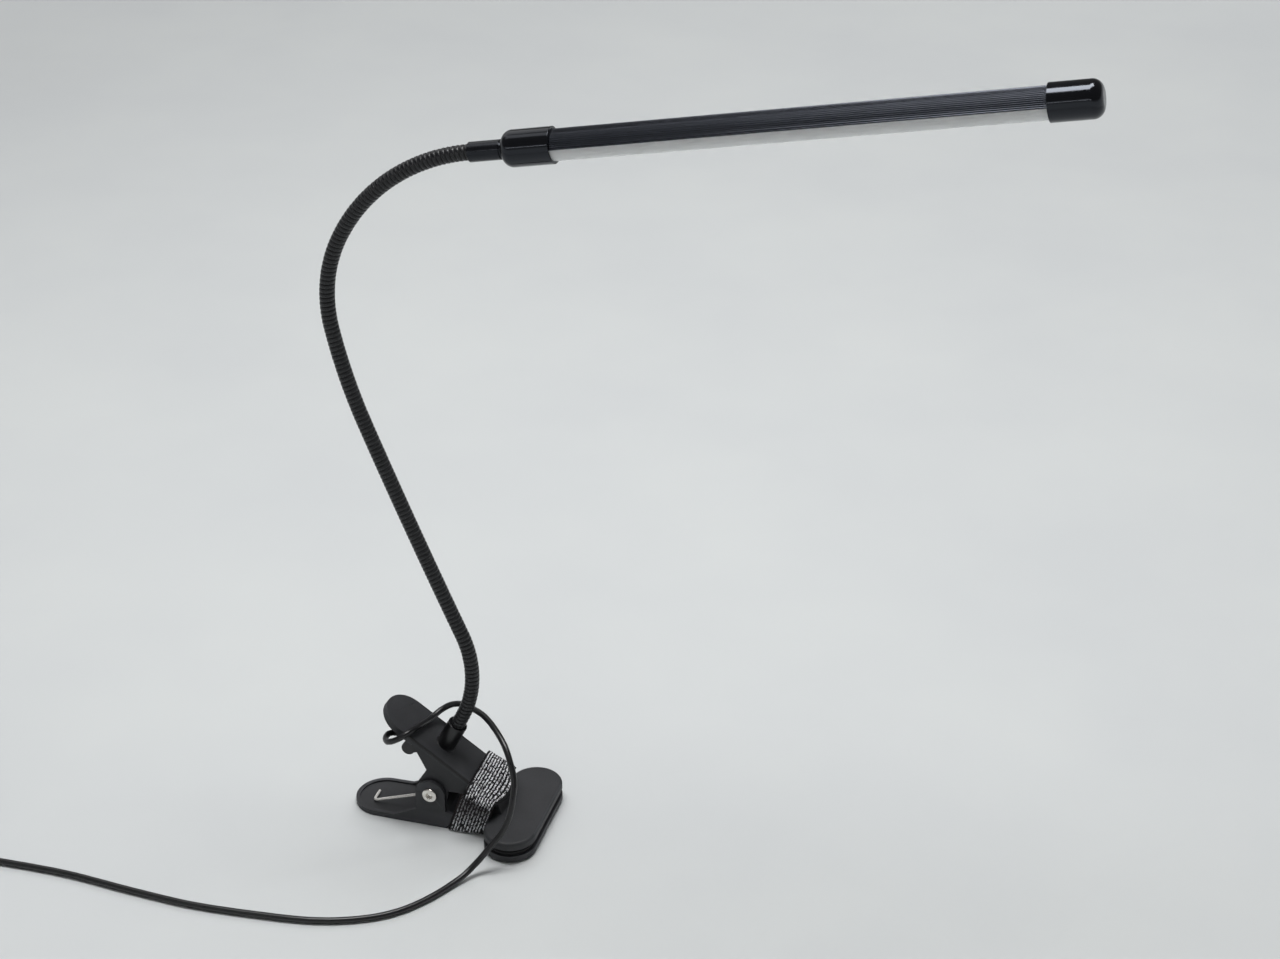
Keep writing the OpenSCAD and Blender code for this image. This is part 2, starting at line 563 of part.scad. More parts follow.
// ---- cord ----
// Chosen points of the route: out of the gland, round under the tab, over the lever, behind the
// gooseneck, down past the jaw and along the table to the coil
nozzle_dir = [-cos(elbow_turn), 0, sin(elbow_turn)];
lay = cord_d / 2 + 0.1;      // height of the cord's middle line on the table
coil_at = [-306, -84];
coil_out = 26;              // first loop's radius
coil_air = 0.6;
coil_step = cord_d + coil_air;  // a loop lies this much inside the one before
coil_climb = coil_step;         // height of the second layer over the first
tie_t = 0.5;
coil_z = cord_d / 2 + tie_t + 0.4;
straight_in = 4;            // straight cord at each end of the coil
cord_route = concat([nozzle_end, nozzle_end + cord_d * nozzle_dir], [
    [-60.5, -1.2, 42.4], [-64.8, -2.8, 46.2], [-69, -5.2, 49], [-71.7, -8.5, 50], [-71.7, -12.8, 49.8], [-69, -16.5, 50.8], [-65.3, -18, 53], [-61, -17.6, 55.6],
    [-58, -15.2, 57.4], [-56, -10.2, 57.2], [-54.6, -3.5, 56], [-52.6, 4.5, 54.8], [-49.5, 11.5, 56],
    [-44.5, 14.5, 58.7], [-38, 14, 60.6], [-30, 9, 62.4], [-21.3, 2, 64], [-12.2, -7, 63.5],
    [-4, -15.5, 60], [1.3, -22, 54], [4.7, -27, 47.3], [5.3, -31, 40.2], [4.5, -35, 30.9],
    [1.5, -38.5, 22.5], [-4, -43, 14.5], [-10, -49, 7], [-16, -58, lay + 0.8], [-26, -76, lay],
    [-38, -91, lay], [-54, -101.5, lay], [-76, -109, lay], [-104, -112.5, lay], [-140, -114.5, lay],
    [-175, -112.5, lay], [-215, -109, lay], [-253, -109.2, lay], [-280, -110, lay + 0.2],
    [coil_at.x + 12, coil_at.y - coil_out, coil_z], [coil_at.x + straight_in, coil_at.y - coil_out, coil_z]]);
// The coil winds clockwise in to its middle, climbs in half a turn and winds out again
function coil_radius(t) = coil_out - coil_step * min(t, coil_turns - t);
function coil_turn(t) = -90 - 360 * t;
function coil_point(t) = let (g = coil_turn(t), up = max(0, min(1, (t - coil_turns / 2 + 0.25) * 2)))
    [coil_at.x + coil_radius(t) * cos(g), coil_at.y + coil_radius(t) * sin(g), coil_z + coil_climb * up];
coil_loops = [for (i = [0:coil_turns * 24]) coil_point(i / 24)];
coil_end = coil_point(coil_turns) + [0, straight_in, 0];
coil_points = concat([coil_loops[0] + [straight_in, 0, 0]], coil_loops, [coil_end]);
tie_turn = 0.375;           // the tie holds the loops this part of a turn after the coil's start
tie_radii = [for (k = [0:floor(coil_turns - tie_turn)]) coil_radius(k + tie_turn)];
plug_z = 4.2;
tail_len = 22;
plug_from = coil_end.y + tail_len;
tail_route = [coil_end, coil_end + [0, 8, -1], [coil_end.x, plug_from - 5, plug_z],
    [coil_end.x, plug_from, plug_z]];
boot_len = 10;
body_len = 22;
shell_len = 12;
module cord_run() color([0.07, 0.07, 0.07]) swept(through(cord_route, 8.5), cord_d / 2, 8, [0, 1, 0]);
module cord_coil() color([0.07, 0.07, 0.07]) swept(coil_points, cord_d / 2, 6, [0, 0, 1]);
module coil_tie() color([0.2, 0.2, 0.2]) {
    inner_r = min(tie_radii) - cord_d / 2 - 0.6;
    outer_r = max(tie_radii) + cord_d / 2 + 0.3;
    low = coil_z - cord_d / 2 - 0.3;
    high = coil_z + coil_climb + cord_d / 2 + 0.3;
    translate([coil_at.x, coil_at.y, 0]) rotate(coil_turn(tie_turn)) difference() {
        translate([inner_r - tie_t, -3, low - tie_t])
            cube([outer_r - inner_r + 2 * tie_t, 6, high - low + 2 * tie_t]);
        translate([inner_r, -4, low]) cube([outer_r - inner_r, 8, high - low]);
    }
}
module cord_tail() color([0.07, 0.07, 0.07]) swept(through(tail_route, 6), cord_d / 2, 8, [0, 0, 1]);
module on_plug(y) {
    translate([coil_end.x, plug_from + y, plug_z]) rotate([-90, 0, 0]) children();
}
module plug_boot() color([0.07, 0.07, 0.07]) on_plug(0) cylinder(r1 = cord_d / 2 + 0.3, r2 = 3.2, h = boot_len);
module plug_body() color([0.07, 0.07, 0.07]) on_plug(boot_len) linear_extrude(height = body_len)
    square_round([15.4, 7.8], 1.6);
module square_round(size, r) {
    square([size.x - 2 * r, size.y], center = true);
    square([size.x, size.y - 2 * r], center = true);
    for (x = [-1, 1], y = [-1, 1]) translate([x * (size.x / 2 - r), y * (size.y / 2 - r)]) circle(r);
}
module plug_shell() color([0.75, 0.75, 0.75]) on_plug(boot_len + body_len) linear_extrude(height = shell_len)
    difference() {
        square([12, 4.5], center = true);
        square([11.4, 3.9], center = true);
    }
module plug_tongue() color([0.9, 0.9, 0.9]) on_plug(boot_len + body_len) translate([-5.6, 0.1, 0])
    cube([11.2, 1.7, shell_len - 0.6]);

echo("spring: least gap to itself", least_gap(spring_coil_points(), 6, wire_d));
echo("coil: least gap to itself", least_gap(coil_loops, 16, cord_d));

lower_lever();
lower_jaw_pad();
hinge_rivet();
torsion_spring();
elastic_band();
upper_lever();
upper_jaw_pad();
neck_ferrule();
ferrule_nut();
cord_gland();
neck_foot();
neck_bend_base();
neck_run_low();
neck_bend_side();
neck_run_mid();
neck_bend_mid();
neck_run_high();
neck_bend_top();
neck_end();
head_sleeve();
head_nut();
rear_cap();
tube_profile();
diffuser();
led_board();
led_chips();
board_resistors();
board_leads();
front_cap();
cord_run();
cord_coil();
coil_tie();
cord_tail();
plug_boot();
plug_body();
plug_shell();
plug_tongue();
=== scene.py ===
import json
from itertools import accumulate
from math import acos, atan2, cos, hypot, pi, radians, sin, tan

import bmesh
import bpy
import numpy as np
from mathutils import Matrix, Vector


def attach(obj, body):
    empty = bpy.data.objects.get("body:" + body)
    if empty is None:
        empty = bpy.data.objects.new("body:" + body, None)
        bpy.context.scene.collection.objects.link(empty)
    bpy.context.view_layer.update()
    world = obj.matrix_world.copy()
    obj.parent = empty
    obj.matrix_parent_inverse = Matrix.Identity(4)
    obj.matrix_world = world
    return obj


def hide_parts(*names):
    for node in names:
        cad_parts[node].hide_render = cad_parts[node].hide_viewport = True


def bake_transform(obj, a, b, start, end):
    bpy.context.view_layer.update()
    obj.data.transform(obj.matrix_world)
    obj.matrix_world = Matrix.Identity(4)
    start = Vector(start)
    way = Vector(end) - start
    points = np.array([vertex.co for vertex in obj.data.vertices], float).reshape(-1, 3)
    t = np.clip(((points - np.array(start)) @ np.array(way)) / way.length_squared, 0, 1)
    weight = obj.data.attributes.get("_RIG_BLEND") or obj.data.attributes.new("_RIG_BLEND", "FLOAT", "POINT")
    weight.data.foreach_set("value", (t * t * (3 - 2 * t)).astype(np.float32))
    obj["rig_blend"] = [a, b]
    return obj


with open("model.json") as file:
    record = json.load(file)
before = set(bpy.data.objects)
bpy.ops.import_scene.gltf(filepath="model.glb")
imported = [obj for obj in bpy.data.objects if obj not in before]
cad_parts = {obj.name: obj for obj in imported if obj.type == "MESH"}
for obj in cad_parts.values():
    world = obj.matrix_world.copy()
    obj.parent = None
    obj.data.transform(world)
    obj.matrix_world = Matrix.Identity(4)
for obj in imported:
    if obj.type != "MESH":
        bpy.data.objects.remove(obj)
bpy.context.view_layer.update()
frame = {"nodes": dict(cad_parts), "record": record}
bodyOf = {node: body for body, nodes in frame["record"]["behaviour"]["bodies"].items() for node in nodes}
mm = 0.001


def placed(name, data):
    # A new object of that name, linked to the scene
    thing = bpy.data.objects.new(name, data)
    bpy.context.scene.collection.objects.link(thing)
    return thing


print("camera")
photoView = {
    "lens": 70.31, "sensor": 36,         # mm
    "place": (0.3589, -1.0254, 0.8121),  # metres
    "aboveLevel": 29,                    # degrees the view looks down
    "roundFromSide": 16,                 # degrees round from the clamp's side
    "clip": (0.05, 30)}                  # metres, nearest and farthest
cameraData = bpy.data.cameras.new("photoCamera")
cameraData.lens, cameraData.sensor_width = photoView["lens"], photoView["sensor"]
cameraData.clip_start, cameraData.clip_end = photoView["clip"]
camera = placed("photoCamera", cameraData)
camera.location = photoView["place"]
camera.rotation_euler = (radians(90 - photoView["aboveLevel"]), 0, radians(photoView["roundFromSide"]))
bpy.context.scene.camera = camera
bpy.context.scene.view_settings.view_transform = "Standard"

# mm and degrees, as in the CAD: the pin, the upper lever's tilt, its top's height over the pin line, and
# the x at which that top ends over the jaws
clamp = {"pivot": (-47.0, 20.2), "tilt": 35.4, "rise": 21.6, "topEnd": -9.0}
tilt = radians(clamp["tilt"])


def leverPoint(a, h):
    # Side-view point a along the upper lever and h square to it, both from the pin
    return (clamp["pivot"][0] + a * cos(tilt) + h * sin(tilt),
            clamp["pivot"][1] - a * sin(tilt) + h * cos(tilt))


def linearColour(hexCode):
    # sRGB to linear light: c/12.92 below 0.04045, else ((c + 0.055)/1.055)^2.4
    c = np.array([int(hexCode[i:i + 2], 16) / 255 for i in (1, 3, 5)])
    c = np.where(c <= 0.04045, c / 12.92, ((c + 0.055) / 1.055) ** 2.4)
    return (*c.tolist(), 1.0)


def addNode(tree, kind, settings=None, links=None):
    # Settings are socket values (by name or number) or properties, links go from a socket to an input, and
    # the node's outputs come back
    node = tree.nodes.new("ShaderNode" + kind)
    for key, value in (settings or {}).items():
        if isinstance(key, int) or key in node.inputs:
            node.inputs[key].default_value = value
        else:
            setattr(node, key, value)
    for key, source in (links or {}).items():
        tree.links.new(source, node.inputs[key])
    return node.outputs


def newMaterial(name):
    material = bpy.data.materials.new(name)
    material.use_nodes = True
    material.node_tree.nodes.clear()
    return material, material.node_tree


def rubbedEdge(tree, grain):
    # Where the surface is sharply convex, broken up by the grain
    sharp = addNode(tree, "NewGeometry")["Pointiness"]
    sharp = addNode(tree, "MapRange", {"From Min": 0.52, "From Max": 0.6}, {"Value": sharp})[0]
    return addNode(tree, "Math", {"operation": "MULTIPLY"}, {0: sharp, 1: grain})[0]


def woundGrooveShadeShare(tree, width):
    # Helix: the groove, where shade is painted, lies where frac(v - u) is near 0 or 1, with u round the hose and
    # v counted in ribs
    uv = addNode(tree, "UVMap", {"uv_map": "UVMap"})[0]
    axes = addNode(tree, "SeparateXYZ", links={0: uv})
    turn = addNode(tree, "Math", {"operation": "SUBTRACT"}, {0: axes[1], 1: axes[0]})[0]
    turn = addNode(tree, "Math", {"operation": "PINGPONG", 1: 0.5}, {0: turn})[0]
    return addNode(tree, "MapRange", {"From Min": width, "From Max": 0.03}, {"Value": turn})[0]


def seamShadeShare(tree, here, seam):
    # Painted shade: a dark line along both upper edges of the lever, under the top's overhang, from start to end:
    # |y| and the height over the pin line high
    side = addNode(tree, "SeparateXYZ", links={0: here})[1]
    side = addNode(tree, "Math", {"operation": "ABSOLUTE"}, {0: side})[0]
    away = addNode(tree, "VectorMath", {"operation": "SUBTRACT", 1: seam["pin"]}, {0: here})[0]
    deep = addNode(tree, "MapRange", {"From Min": seam["side"][0], "From Max": seam["side"][1]},
                   {"Value": side})[0]
    for way, limit in (("square", "height"), ("along", "start"), ("along", "end")):
        share = addNode(tree, "VectorMath", {"operation": "DOT_PRODUCT", 1: seam[way]}, {0: away})["Value"]
        share = addNode(tree, "MapRange", {"From Min": seam[limit][0], "From Max": seam[limit][1]},
                        {"Value": share})[0]
        deep = addNode(tree, "Math", {"operation": "MULTIPLY"}, {0: deep, 1: share})[0]
    return deep


def pillarShare(tree, here, pillar):
    # 1 within the radius of the axis and beyond the foot, with soft limits
    away = addNode(tree, "VectorMath", {"operation": "SUBTRACT", 1: pillar["foot"]}, {0: here})[0]
    off = addNode(tree, "VectorMath", {"operation": "CROSS_PRODUCT", 1: pillar["way"]}, {0: away})[0]
    off = addNode(tree, "VectorMath", {"operation": "LENGTH"}, {0: off})["Value"]
    off = addNode(tree, "MapRange", {
        "From Min": pillar["radius"] + 0.6 * mm, "From Max": pillar["radius"] + 0.2 * mm}, {"Value": off})[0]
    up = addNode(tree, "VectorMath", {"operation": "DOT_PRODUCT", 1: pillar["way"]}, {0: away})["Value"]
    up = addNode(tree, "MapRange", {"From Min": 0.0, "From Max": 0.6 * mm}, {"Value": up})[0]
    return addNode(tree, "Math", {"operation": "MULTIPLY"}, {0: off, 1: up})[0]


def surfaceFinish(name, look):
    # A solid finish: two close colours in broad blotches, uneven gloss and a fine relief, then worn edges,
    # painted shade in grooves and seams, and polished parts, each with its own colour and some with their own
    # gloss
    material, tree = newMaterial(name)
    here = addNode(tree, "TexCoord")["Object"]
    if look.get("alongUv"):
        here = addNode(tree, "UVMap", {"uv_map": "UVMap"})[0]
    drawn = here
    if look.get("stretch"):             # grain drawn out along an axis, as a die or a roller leaves it
        drawn = addNode(tree, "Mapping", {
            "vector_type": "TEXTURE", "Rotation": look.get("turn", (0, 0, 0)), "Scale": look["stretch"]},
            {"Vector": here})[0]
    blotch, grain = (addNode(tree, "TexNoise", {"Scale": 1 / (size * mm), "Detail": detail, "Roughness": 0.55},
                             {"Vector": where})[0]
                     for size, detail, where in zip(look["sizes"], look.get("detail", (3, 4)), (here, drawn)))
    low, high = look.get("spread", (0.35, 0.65))    # noise that gives the one colour and the other
    blotch = addNode(tree, "MapRange", {"From Min": low, "From Max": high}, {"Value": blotch})[0]
    low, high = (linearColour(shade) for shade in look["colours"])
    colour = addNode(tree, "Mix", {"data_type": "RGBA", 6: low, 7: high}, {0: blotch})[2]
    gloss = addNode(tree, "MapRange", {
        "From Min": 0.3, "From Max": 0.7, "To Min": look["roughness"][0], "To Max": look["roughness"][1]},
        {"Value": grain})[0]
    places = []
    if look.get("edge"):
        places.append((rubbedEdge(tree, grain), look["edge"], None))
    if look.get("wound"):
        # painted shade, near black, in the groove between the hose's ribs
        places.append((woundGrooveShadeShare(tree, look["wound"]), look["groove"], 0.8))
    # painted shade along the lever's upper edges, under the top's overhang
    if look.get("seam"):
        places.append((seamShadeShare(tree, here, look["seam"]), look["seam"]["colour"], None))
    for pillar in look.get("pillars", ()):
        places.append((pillarShare(tree, here, pillar), pillar["colour"], pillar["roughness"]))
    for share, shade, rough in places:
        colour = addNode(tree, "Mix", {"data_type": "RGBA", 7: linearColour(shade)}, {0: share, 6: colour})[2]
        if rough:
            gloss = addNode(tree, "Mix", {3: rough}, {0: share, 2: gloss})[0]
    relief = addNode(tree, "Bump", {"Strength": look["relief"][0], "Distance": look["relief"][1] * mm},
                     {"Height": grain})[0]
    shader = addNode(tree, "BsdfPrincipled", look.get("sockets"),
                     {"Base Color": colour, "Roughness": gloss, "Normal": relief})
    addNode(tree, "OutputMaterial", links={"Surface": shader[0]})
    return material


def meshPiece(name, points, quads, triangles, quadUv, material):
    # One object from arrays: points (n, 3), quads (q, 4), triangles (t, 3) and a uv for each quad corner
    mesh = bpy.data.meshes.new(name)
    corners = np.concatenate([quads.ravel(), triangles.ravel()]).astype(np.int32)
    starts = np.concatenate([np.arange(len(quads)) * 4, len(quads) * 4 + np.arange(len(triangles)) * 3])
    mesh.vertices.add(len(points))
    mesh.vertices.foreach_set("co", points.astype(np.float32).ravel())
    mesh.loops.add(len(corners))
    mesh.loops.foreach_set("vertex_index", corners)
    mesh.polygons.add(len(starts))
    mesh.polygons.foreach_set("loop_start", starts.astype(np.int32))
    mesh.polygons.foreach_set("use_smooth", np.full(len(starts), True))
    mesh.update(calc_edges=True)
    uv = np.zeros((len(corners), 2), np.float32)
    uv[:quads.size] = quadUv.reshape(-1, 2)
    mesh.uv_layers.new(name="UVMap").data.foreach_set("uv", uv.ravel())
    mesh.materials.append(material)
    return placed(name, mesh)


def lengthsAlong(points):
    # Running length at each point, and once more at the end for the way back to the first
    run = np.concatenate([[0], np.cumsum(np.linalg.norm(np.diff(points, axis=0), axis=1))])
    return np.append(run, run[-1] + np.linalg.norm(points[0] - points[-1]))


def gridPiece(name, grid, material, closeRound=True, closeAlong=False, caps=(0, 1), rulers=None):
    # A grid P(i, j): i runs along, j round. Faces P(i,j) P(i,j+1) P(i+1,j+1) P(i+1,j); an open end gets a fan.
    # uv is the run in metres along j and along i, so that a pattern keeps its real size, or follows the rulers.
    rows, columns = grid.shape[:2]
    i = np.arange(rows if closeAlong else rows - 1)[:, None]
    j = np.arange(columns if closeRound else columns - 1)[None, :]
    nextI, nextJ = (i + 1) % rows, (j + 1) % columns
    quads = np.stack(np.broadcast_arrays(i * columns + j, i * columns + nextJ, nextI * columns + nextJ,
                                         nextI * columns + j), -1).reshape(-1, 4)
    middle = grid.mean(1) if closeRound else grid[:, columns // 2]
    girth, run = rulers or (lengthsAlong(grid[rows // 2]), lengthsAlong(middle))
    u = np.stack(np.broadcast_arrays(girth[j], girth[j + 1], girth[j + 1], girth[j], i * 0)[:4], -1)
    v = np.stack(np.broadcast_arrays(run[i], run[i], run[i + 1], run[i + 1], j * 0)[:4], -1)
    uv = np.stack(np.broadcast_arrays(u, v), -1)
    points, triangles = grid.reshape(-1, 3), np.zeros((0, 3), int)
    if closeRound and not closeAlong:
        k = np.arange(columns)
        k2 = (k + 1) % columns
        fans = {0: (k2, k), 1: ((rows - 1) * columns + k, (rows - 1) * columns + k2)}
        middles = np.array([grid[-end].mean(0) for end in caps])
        points = np.vstack([points, middles])
        triangles = np.concatenate([np.stack([*fans[end], np.full(columns, rows * columns + number)], 1)
                                    for number, end in enumerate(caps)])
    return meshPiece(name, points, quads, triangles, uv, material)


def curveThrough(chosen, pitch):
    # Catmull-Rom through the chosen points: 0.5 (2b + (c-a)f + (2a-5b+4c-d)f^2 + (3b-a-3c+d)f^3)
    chosen = np.asarray(chosen, float)
    padded = np.vstack([chosen[:1], chosen, chosen[-1:]])
    pieces = []
    for a, b, c, d in zip(padded[:-3], padded[1:-2], padded[2:-1], padded[3:]):
        f = np.linspace(0, 1, max(2, int(np.linalg.norm(c - b) / pitch) + 1), endpoint=False)[:, None]
        pieces.append(0.5 * (2 * b + (c - a) * f + (2 * a - 5 * b + 4 * c - d) * f ** 2
                             + (3 * b - a - 3 * c + d) * f ** 3))
    return np.vstack([*pieces, chosen[-1:]])


def framesAlong(path, across):
    # Tangent t = dP/ds; the normal is carried along without twist: n' = n - (n.t) t
    t = np.gradient(path, axis=0)
    t /= np.linalg.norm(t, axis=1)[:, None]

    def carry(n, direction):
        n = n - n.dot(direction) * direction
        return n / np.linalg.norm(n)
    n = np.array(list(accumulate(t, carry, initial=np.asarray(across, float)))[1:])
    return n, np.cross(t, n)


def sweepGrid(path, section, across):
    # P(s, k) = path(s) + x_k n(s) + y_k b(s), with the section's points (x_k, y_k)
    n, b = framesAlong(path, across)
    return path[:, None] + section[None, :, :1] * n[:, None] + section[None, :, 1:] * b[:, None]


def roundSection(radius, sides):
    # (r cos a, r sin a)
    a = np.arange(sides) * 2 * pi / sides
    return radius * np.stack([np.cos(a), np.sin(a)], -1)


def lathePiece(name, profile, origin, axis, across, material, sides=64):
    # Turned piece: P(i, a) = O + x_i axis + r_i (cos a u + sin a w), from a profile of (r, x)
    axis, across = np.asarray(axis, float), np.asarray(across, float)
    other = np.cross(axis, across)
    a = np.arange(sides) * 2 * pi / sides
    r, x = np.asarray(profile, float).T
    grid = (np.asarray(origin) + x[:, None, None] * axis + r[:, None, None]
            * (np.cos(a)[None, :, None] * across + np.sin(a)[None, :, None] * other))
    return gridPiece(name, grid, material)


def bodyAndSlot(piece, node):
    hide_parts(node)
    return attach(piece, bodyOf[node])


def softEdged(node, name, material, radiusMm, segments=3):
    # A moulded edge: the node's faces joined up, then every edge sharper than 30 degrees rounded off
    shape = bmesh.new()
    shape.from_mesh(frame["nodes"][node].data)
    bmesh.ops.remove_doubles(shape, verts=shape.verts, dist=2e-6)
    bmesh.ops.dissolve_limit(shape, angle_limit=radians(1), verts=shape.verts, edges=shape.edges)
    mesh = bpy.data.meshes.new(name)
    shape.to_mesh(mesh)
    shape.free()
    for layer in list(mesh.attributes):
        if layer.name in ("custom_normal", "sharp_edge", "sharp_face"):
            mesh.attributes.remove(layer)
    mesh.polygons.foreach_set("use_smooth", np.full(len(mesh.polygons), True))
    mesh.materials.clear()
    mesh.materials.append(material)
    piece = placed(name, mesh)
    rounding = piece.modifiers.new("moulded edges", "BEVEL")
    rounding.width, rounding.segments = radiusMm * mm, segments
    rounding.limit_method, rounding.angle_limit = "ANGLE", radians(30)
    rounding.use_clamp_overlap = True
    shading = piece.modifiers.new("shading by face size", "WEIGHTED_NORMAL")
    shading.mode, shading.keep_sharp = "FACE_AREA", False
    return bodyAndSlot(piece, node)


# In each look: two colours, blotch and grain sizes in mm, roughness from and to, relief's strength and mm
print("finishes")
leverLook = {
    "colours": ("#212225", "#27282b"), "edge": "#46474c", "sizes": (14, 0.35),
    "roughness": (0.5, 0.66), "relief": (0.35, 0.05), "sockets": {"IOR": 1.54}}
# an eroded tool leaves it dull and even, and handling pales its edges
leverPlastic = surfaceFinish("Spark-grained black ABS moulding", leverLook)

bossAngle = radians(63.0)
# painted shade along the lever's upper edges: the pin, the lever's axes and the line's limits
seamShadeLook = {
    "pin": (clamp["pivot"][0] * mm, 0, clamp["pivot"][1] * mm), "square": (sin(tilt), 0, cos(tilt)),
    "along": (cos(tilt), 0, -sin(tilt)),
    # metres where the painted shade line begins and where it is full
    "side": (0.0126, 0.0129), "height": (0.0203, 0.0206), "start": (-0.034, -0.03), "end": (0.0125, 0.0122),
    "colour": "#040405"}
polished = [    # metres: the boss for the hose, then the cord's lug
    {"foot": (-0.042557, 0, 0.043543), "way": (cos(bossAngle), 0, sin(bossAngle)), "radius": 0.0053,
     "colour": "#0b0b0d", "roughness": 0.28},
    {"foot": (-0.059163, -0.02, 0.045899), "way": (0, 1, 0), "radius": 0.0036,
     "colour": "#0b0b0d", "roughness": 0.3}]
# the same dull grain, a line of painted shade along its upper edges, and a boss and a lug that shine a little
upperPlastic = surfaceFinish("Spark-grained black ABS moulding with a polished boss",
                             {**leverLook, "seam": seamShadeLook, "pillars": polished})
# rubber swallows the light: no clear highlight
padRubber = surfaceFinish("Moulded black rubber", {
    "colours": ("#1d1d1f", "#242426"), "sizes": (9, 0.5),
    "roughness": (0.7, 0.88), "relief": (0.3, 0.06), "sockets": {"IOR": 1.52}})
# a warm, bright metal, slightly hammered by the rolls
nickelPlate = surfaceFinish("Nickel-plated rolled steel", {
    "colours": ("#dcd8d0", "#eeebe5"), "sizes": (2.5, 0.3),
    "roughness": (0.16, 0.28), "relief": (0.12, 0.02), "sockets": {"Metallic": 1.0}})
# die lines along the wire, which soften its bright line
springWire = surfaceFinish("Drawn spring wire, nickel-plated", {
    "colours": ("#f2efe9", "#fbf9f5"), "sizes": (3, 0.12), "stretch": (1, 16, 1), "alongUv": True,
    "roughness": (0.2, 0.3), "relief": (0.12, 0.02), "sockets": {"Metallic": 0.5}})
# a baked coat over wound strip: a soft glint on each rib, and painted shade, near black, in the groove between
# the ribs
neckEnamel = surfaceFinish("Black baked enamel on wound steel", {
    "colours": ("#101114", "#18191c"), "wound": 0.22, "groove": "#030304", "sizes": (7, 0.4),
    "roughness": (0.22, 0.33), "relief": (0.12, 0.03), "sockets": {"IOR": 1.48}})
# bluish grey, with a broad soft highlight
zincSteel = surfaceFinish("Zinc-plated turned steel", {
    "colours": ("#a9adb2", "#c0c4c8"), "sizes": (3, 0.25),
    "roughness": (0.28, 0.42), "relief": (0.12, 0.02), "sockets": {"Metallic": 1.0}})
# soft PVC looks waxy and dull
elbowRubber = surfaceFinish("Soft PVC elbow", {
    "colours": ("#1b1b1d", "#232325"), "sizes": (5, 0.4),
    "roughness": (0.5, 0.65), "relief": (0.2, 0.04), "sockets": {"IOR": 1.53}})
# a polished tool: deep black, narrow bright highlights with a painted bluish tint standing for bluish light,
# paler at the worn rim
capGloss = surfaceFinish("Polished black ABS cap", {
    "colours": ("#060608", "#0a0a0c"), "edge": "#1b1c20", "sizes": (10, 2.2), "roughness": (0.1, 0.15),
    "relief": (0.04, 0.02), "sockets": {"IOR": 1.5, "Specular Tint": (0.82, 0.88, 1, 1)}})
# sprayed paint: black, with a softer highlight than the caps, its bluish tint painted as on the caps
sleeveSatin = surfaceFinish("Satin black painted sleeve", {
    "colours": ("#060608", "#0b0b0d"), "edge": "#1c1d21", "sizes": (6, 0.3), "roughness": (0.2, 0.3),
    "relief": (0.12, 0.02), "sockets": {"IOR": 1.45, "Specular Tint": (0.82, 0.88, 1, 1)}})
alongLight = (0, radians(-11), 0)   # the light rises 11 degrees
# dyed oxide over die lines: near black, with a streak along the light whose bluish tint is painted, standing for
# bluish light
anodised = surfaceFinish("Black anodised aluminium extrusion", {
    "colours": ("#050508", "#08090c"), "sizes": (20, 0.3), "stretch": (50, 1, 1), "turn": alongLight,
    "roughness": (0.17, 0.26), "relief": (0.1, 0.02),
    "sockets": {"IOR": 1.62, "Specular Tint": (0.78, 0.84, 1, 1)}})
# printed ink: bright, flat white with a slight shine
solderMask = surfaceFinish("White solder mask on aluminium", {
    "colours": ("#dcdcd6", "#e8e8e2"), "sizes": (6, 0.3),
    "roughness": (0.3, 0.42), "relief": (0.1, 0.02), "sockets": {"IOR": 1.55}})
# a cloudy yellow gel
phosphor = surfaceFinish("Phosphor-filled silicone", {
    "colours": ("#d9b23a", "#e8c65a"), "sizes": (1.2, 0.15), "roughness": (0.3, 0.45),
    "relief": (0.15, 0.02), "sockets": {"IOR": 1.41, "Subsurface Weight": 0.2}})
# a dark, glassy block with pale edges
ceramicBody = surfaceFinish("Glazed black ceramic chip", {
    "colours": ("#141417", "#1d1d20"), "edge": "#9a9a9a", "sizes": (1, 0.12),
    "roughness": (0.25, 0.4), "relief": (0.1, 0.01), "sockets": {"IOR": 1.6}})
# smooth red plastic, with a soft highlight
leadSheath = surfaceFinish("Red PVC lead sheath", {
    "colours": ("#7c1212", "#8f1b18"), "sizes": (3, 0.2),
    "roughness": (0.35, 0.5), "relief": (0.1, 0.01), "sockets": {"IOR": 1.53}})
# smooth from its die: a long soft highlight
cordSheath = surfaceFinish("Extruded black PVC cord", {
    "colours": ("#0b0b0d", "#121214"), "sizes": (12, 0.6), "stretch": (1, 10, 1), "alongUv": True,
    "roughness": (0.26, 0.36), "relief": (0.1, 0.03), "sockets": {"IOR": 1.54}})
# a matt grip, paler at its edges
plugMoulding = surfaceFinish("Overmoulded PVC plug", {
    "colours": ("#1d1d20", "#252528"), "edge": "#3a3a3d", "sizes": (8, 0.3),
    "roughness": (0.5, 0.64), "relief": (0.25, 0.04), "sockets": {"IOR": 1.53}})
# rolled sheet: fine lines along the shell
plugSteel = surfaceFinish("Nickel-plated pressed shell", {
    "colours": ("#b9bbbe", "#cbcdd0"), "sizes": (4, 0.25), "stretch": (1, 10, 1),
    "roughness": (0.22, 0.34), "relief": (0.12, 0.02), "sockets": {"Metallic": 1.0}})
# a plain white moulding
plugInsert = surfaceFinish("White LCP insert", {
    "colours": ("#dadad5", "#e6e6e1"), "sizes": (3, 0.2),
    "roughness": (0.35, 0.5), "relief": (0.1, 0.02), "sockets": {"IOR": 1.6}})

# a scattering filler: soft and milky, with faint lines along the light
diffuserFrost = surfaceFinish("Frosted polycarbonate extrusion", {
    "colours": ("#eceeed", "#f3f4f3"), "spread": (0, 1), "sizes": (18, 0.5), "detail": (3, 3),
    "stretch": (33, 1, 1), "turn": alongLight, "roughness": (0.36, 0.5), "relief": (0.08, 0.02),
    "sockets": {"IOR": 1.58, "Subsurface Weight": 0.25, "Subsurface Radius": (0.003, 0.003, 0.003),
                "Subsurface Scale": 1.0}})


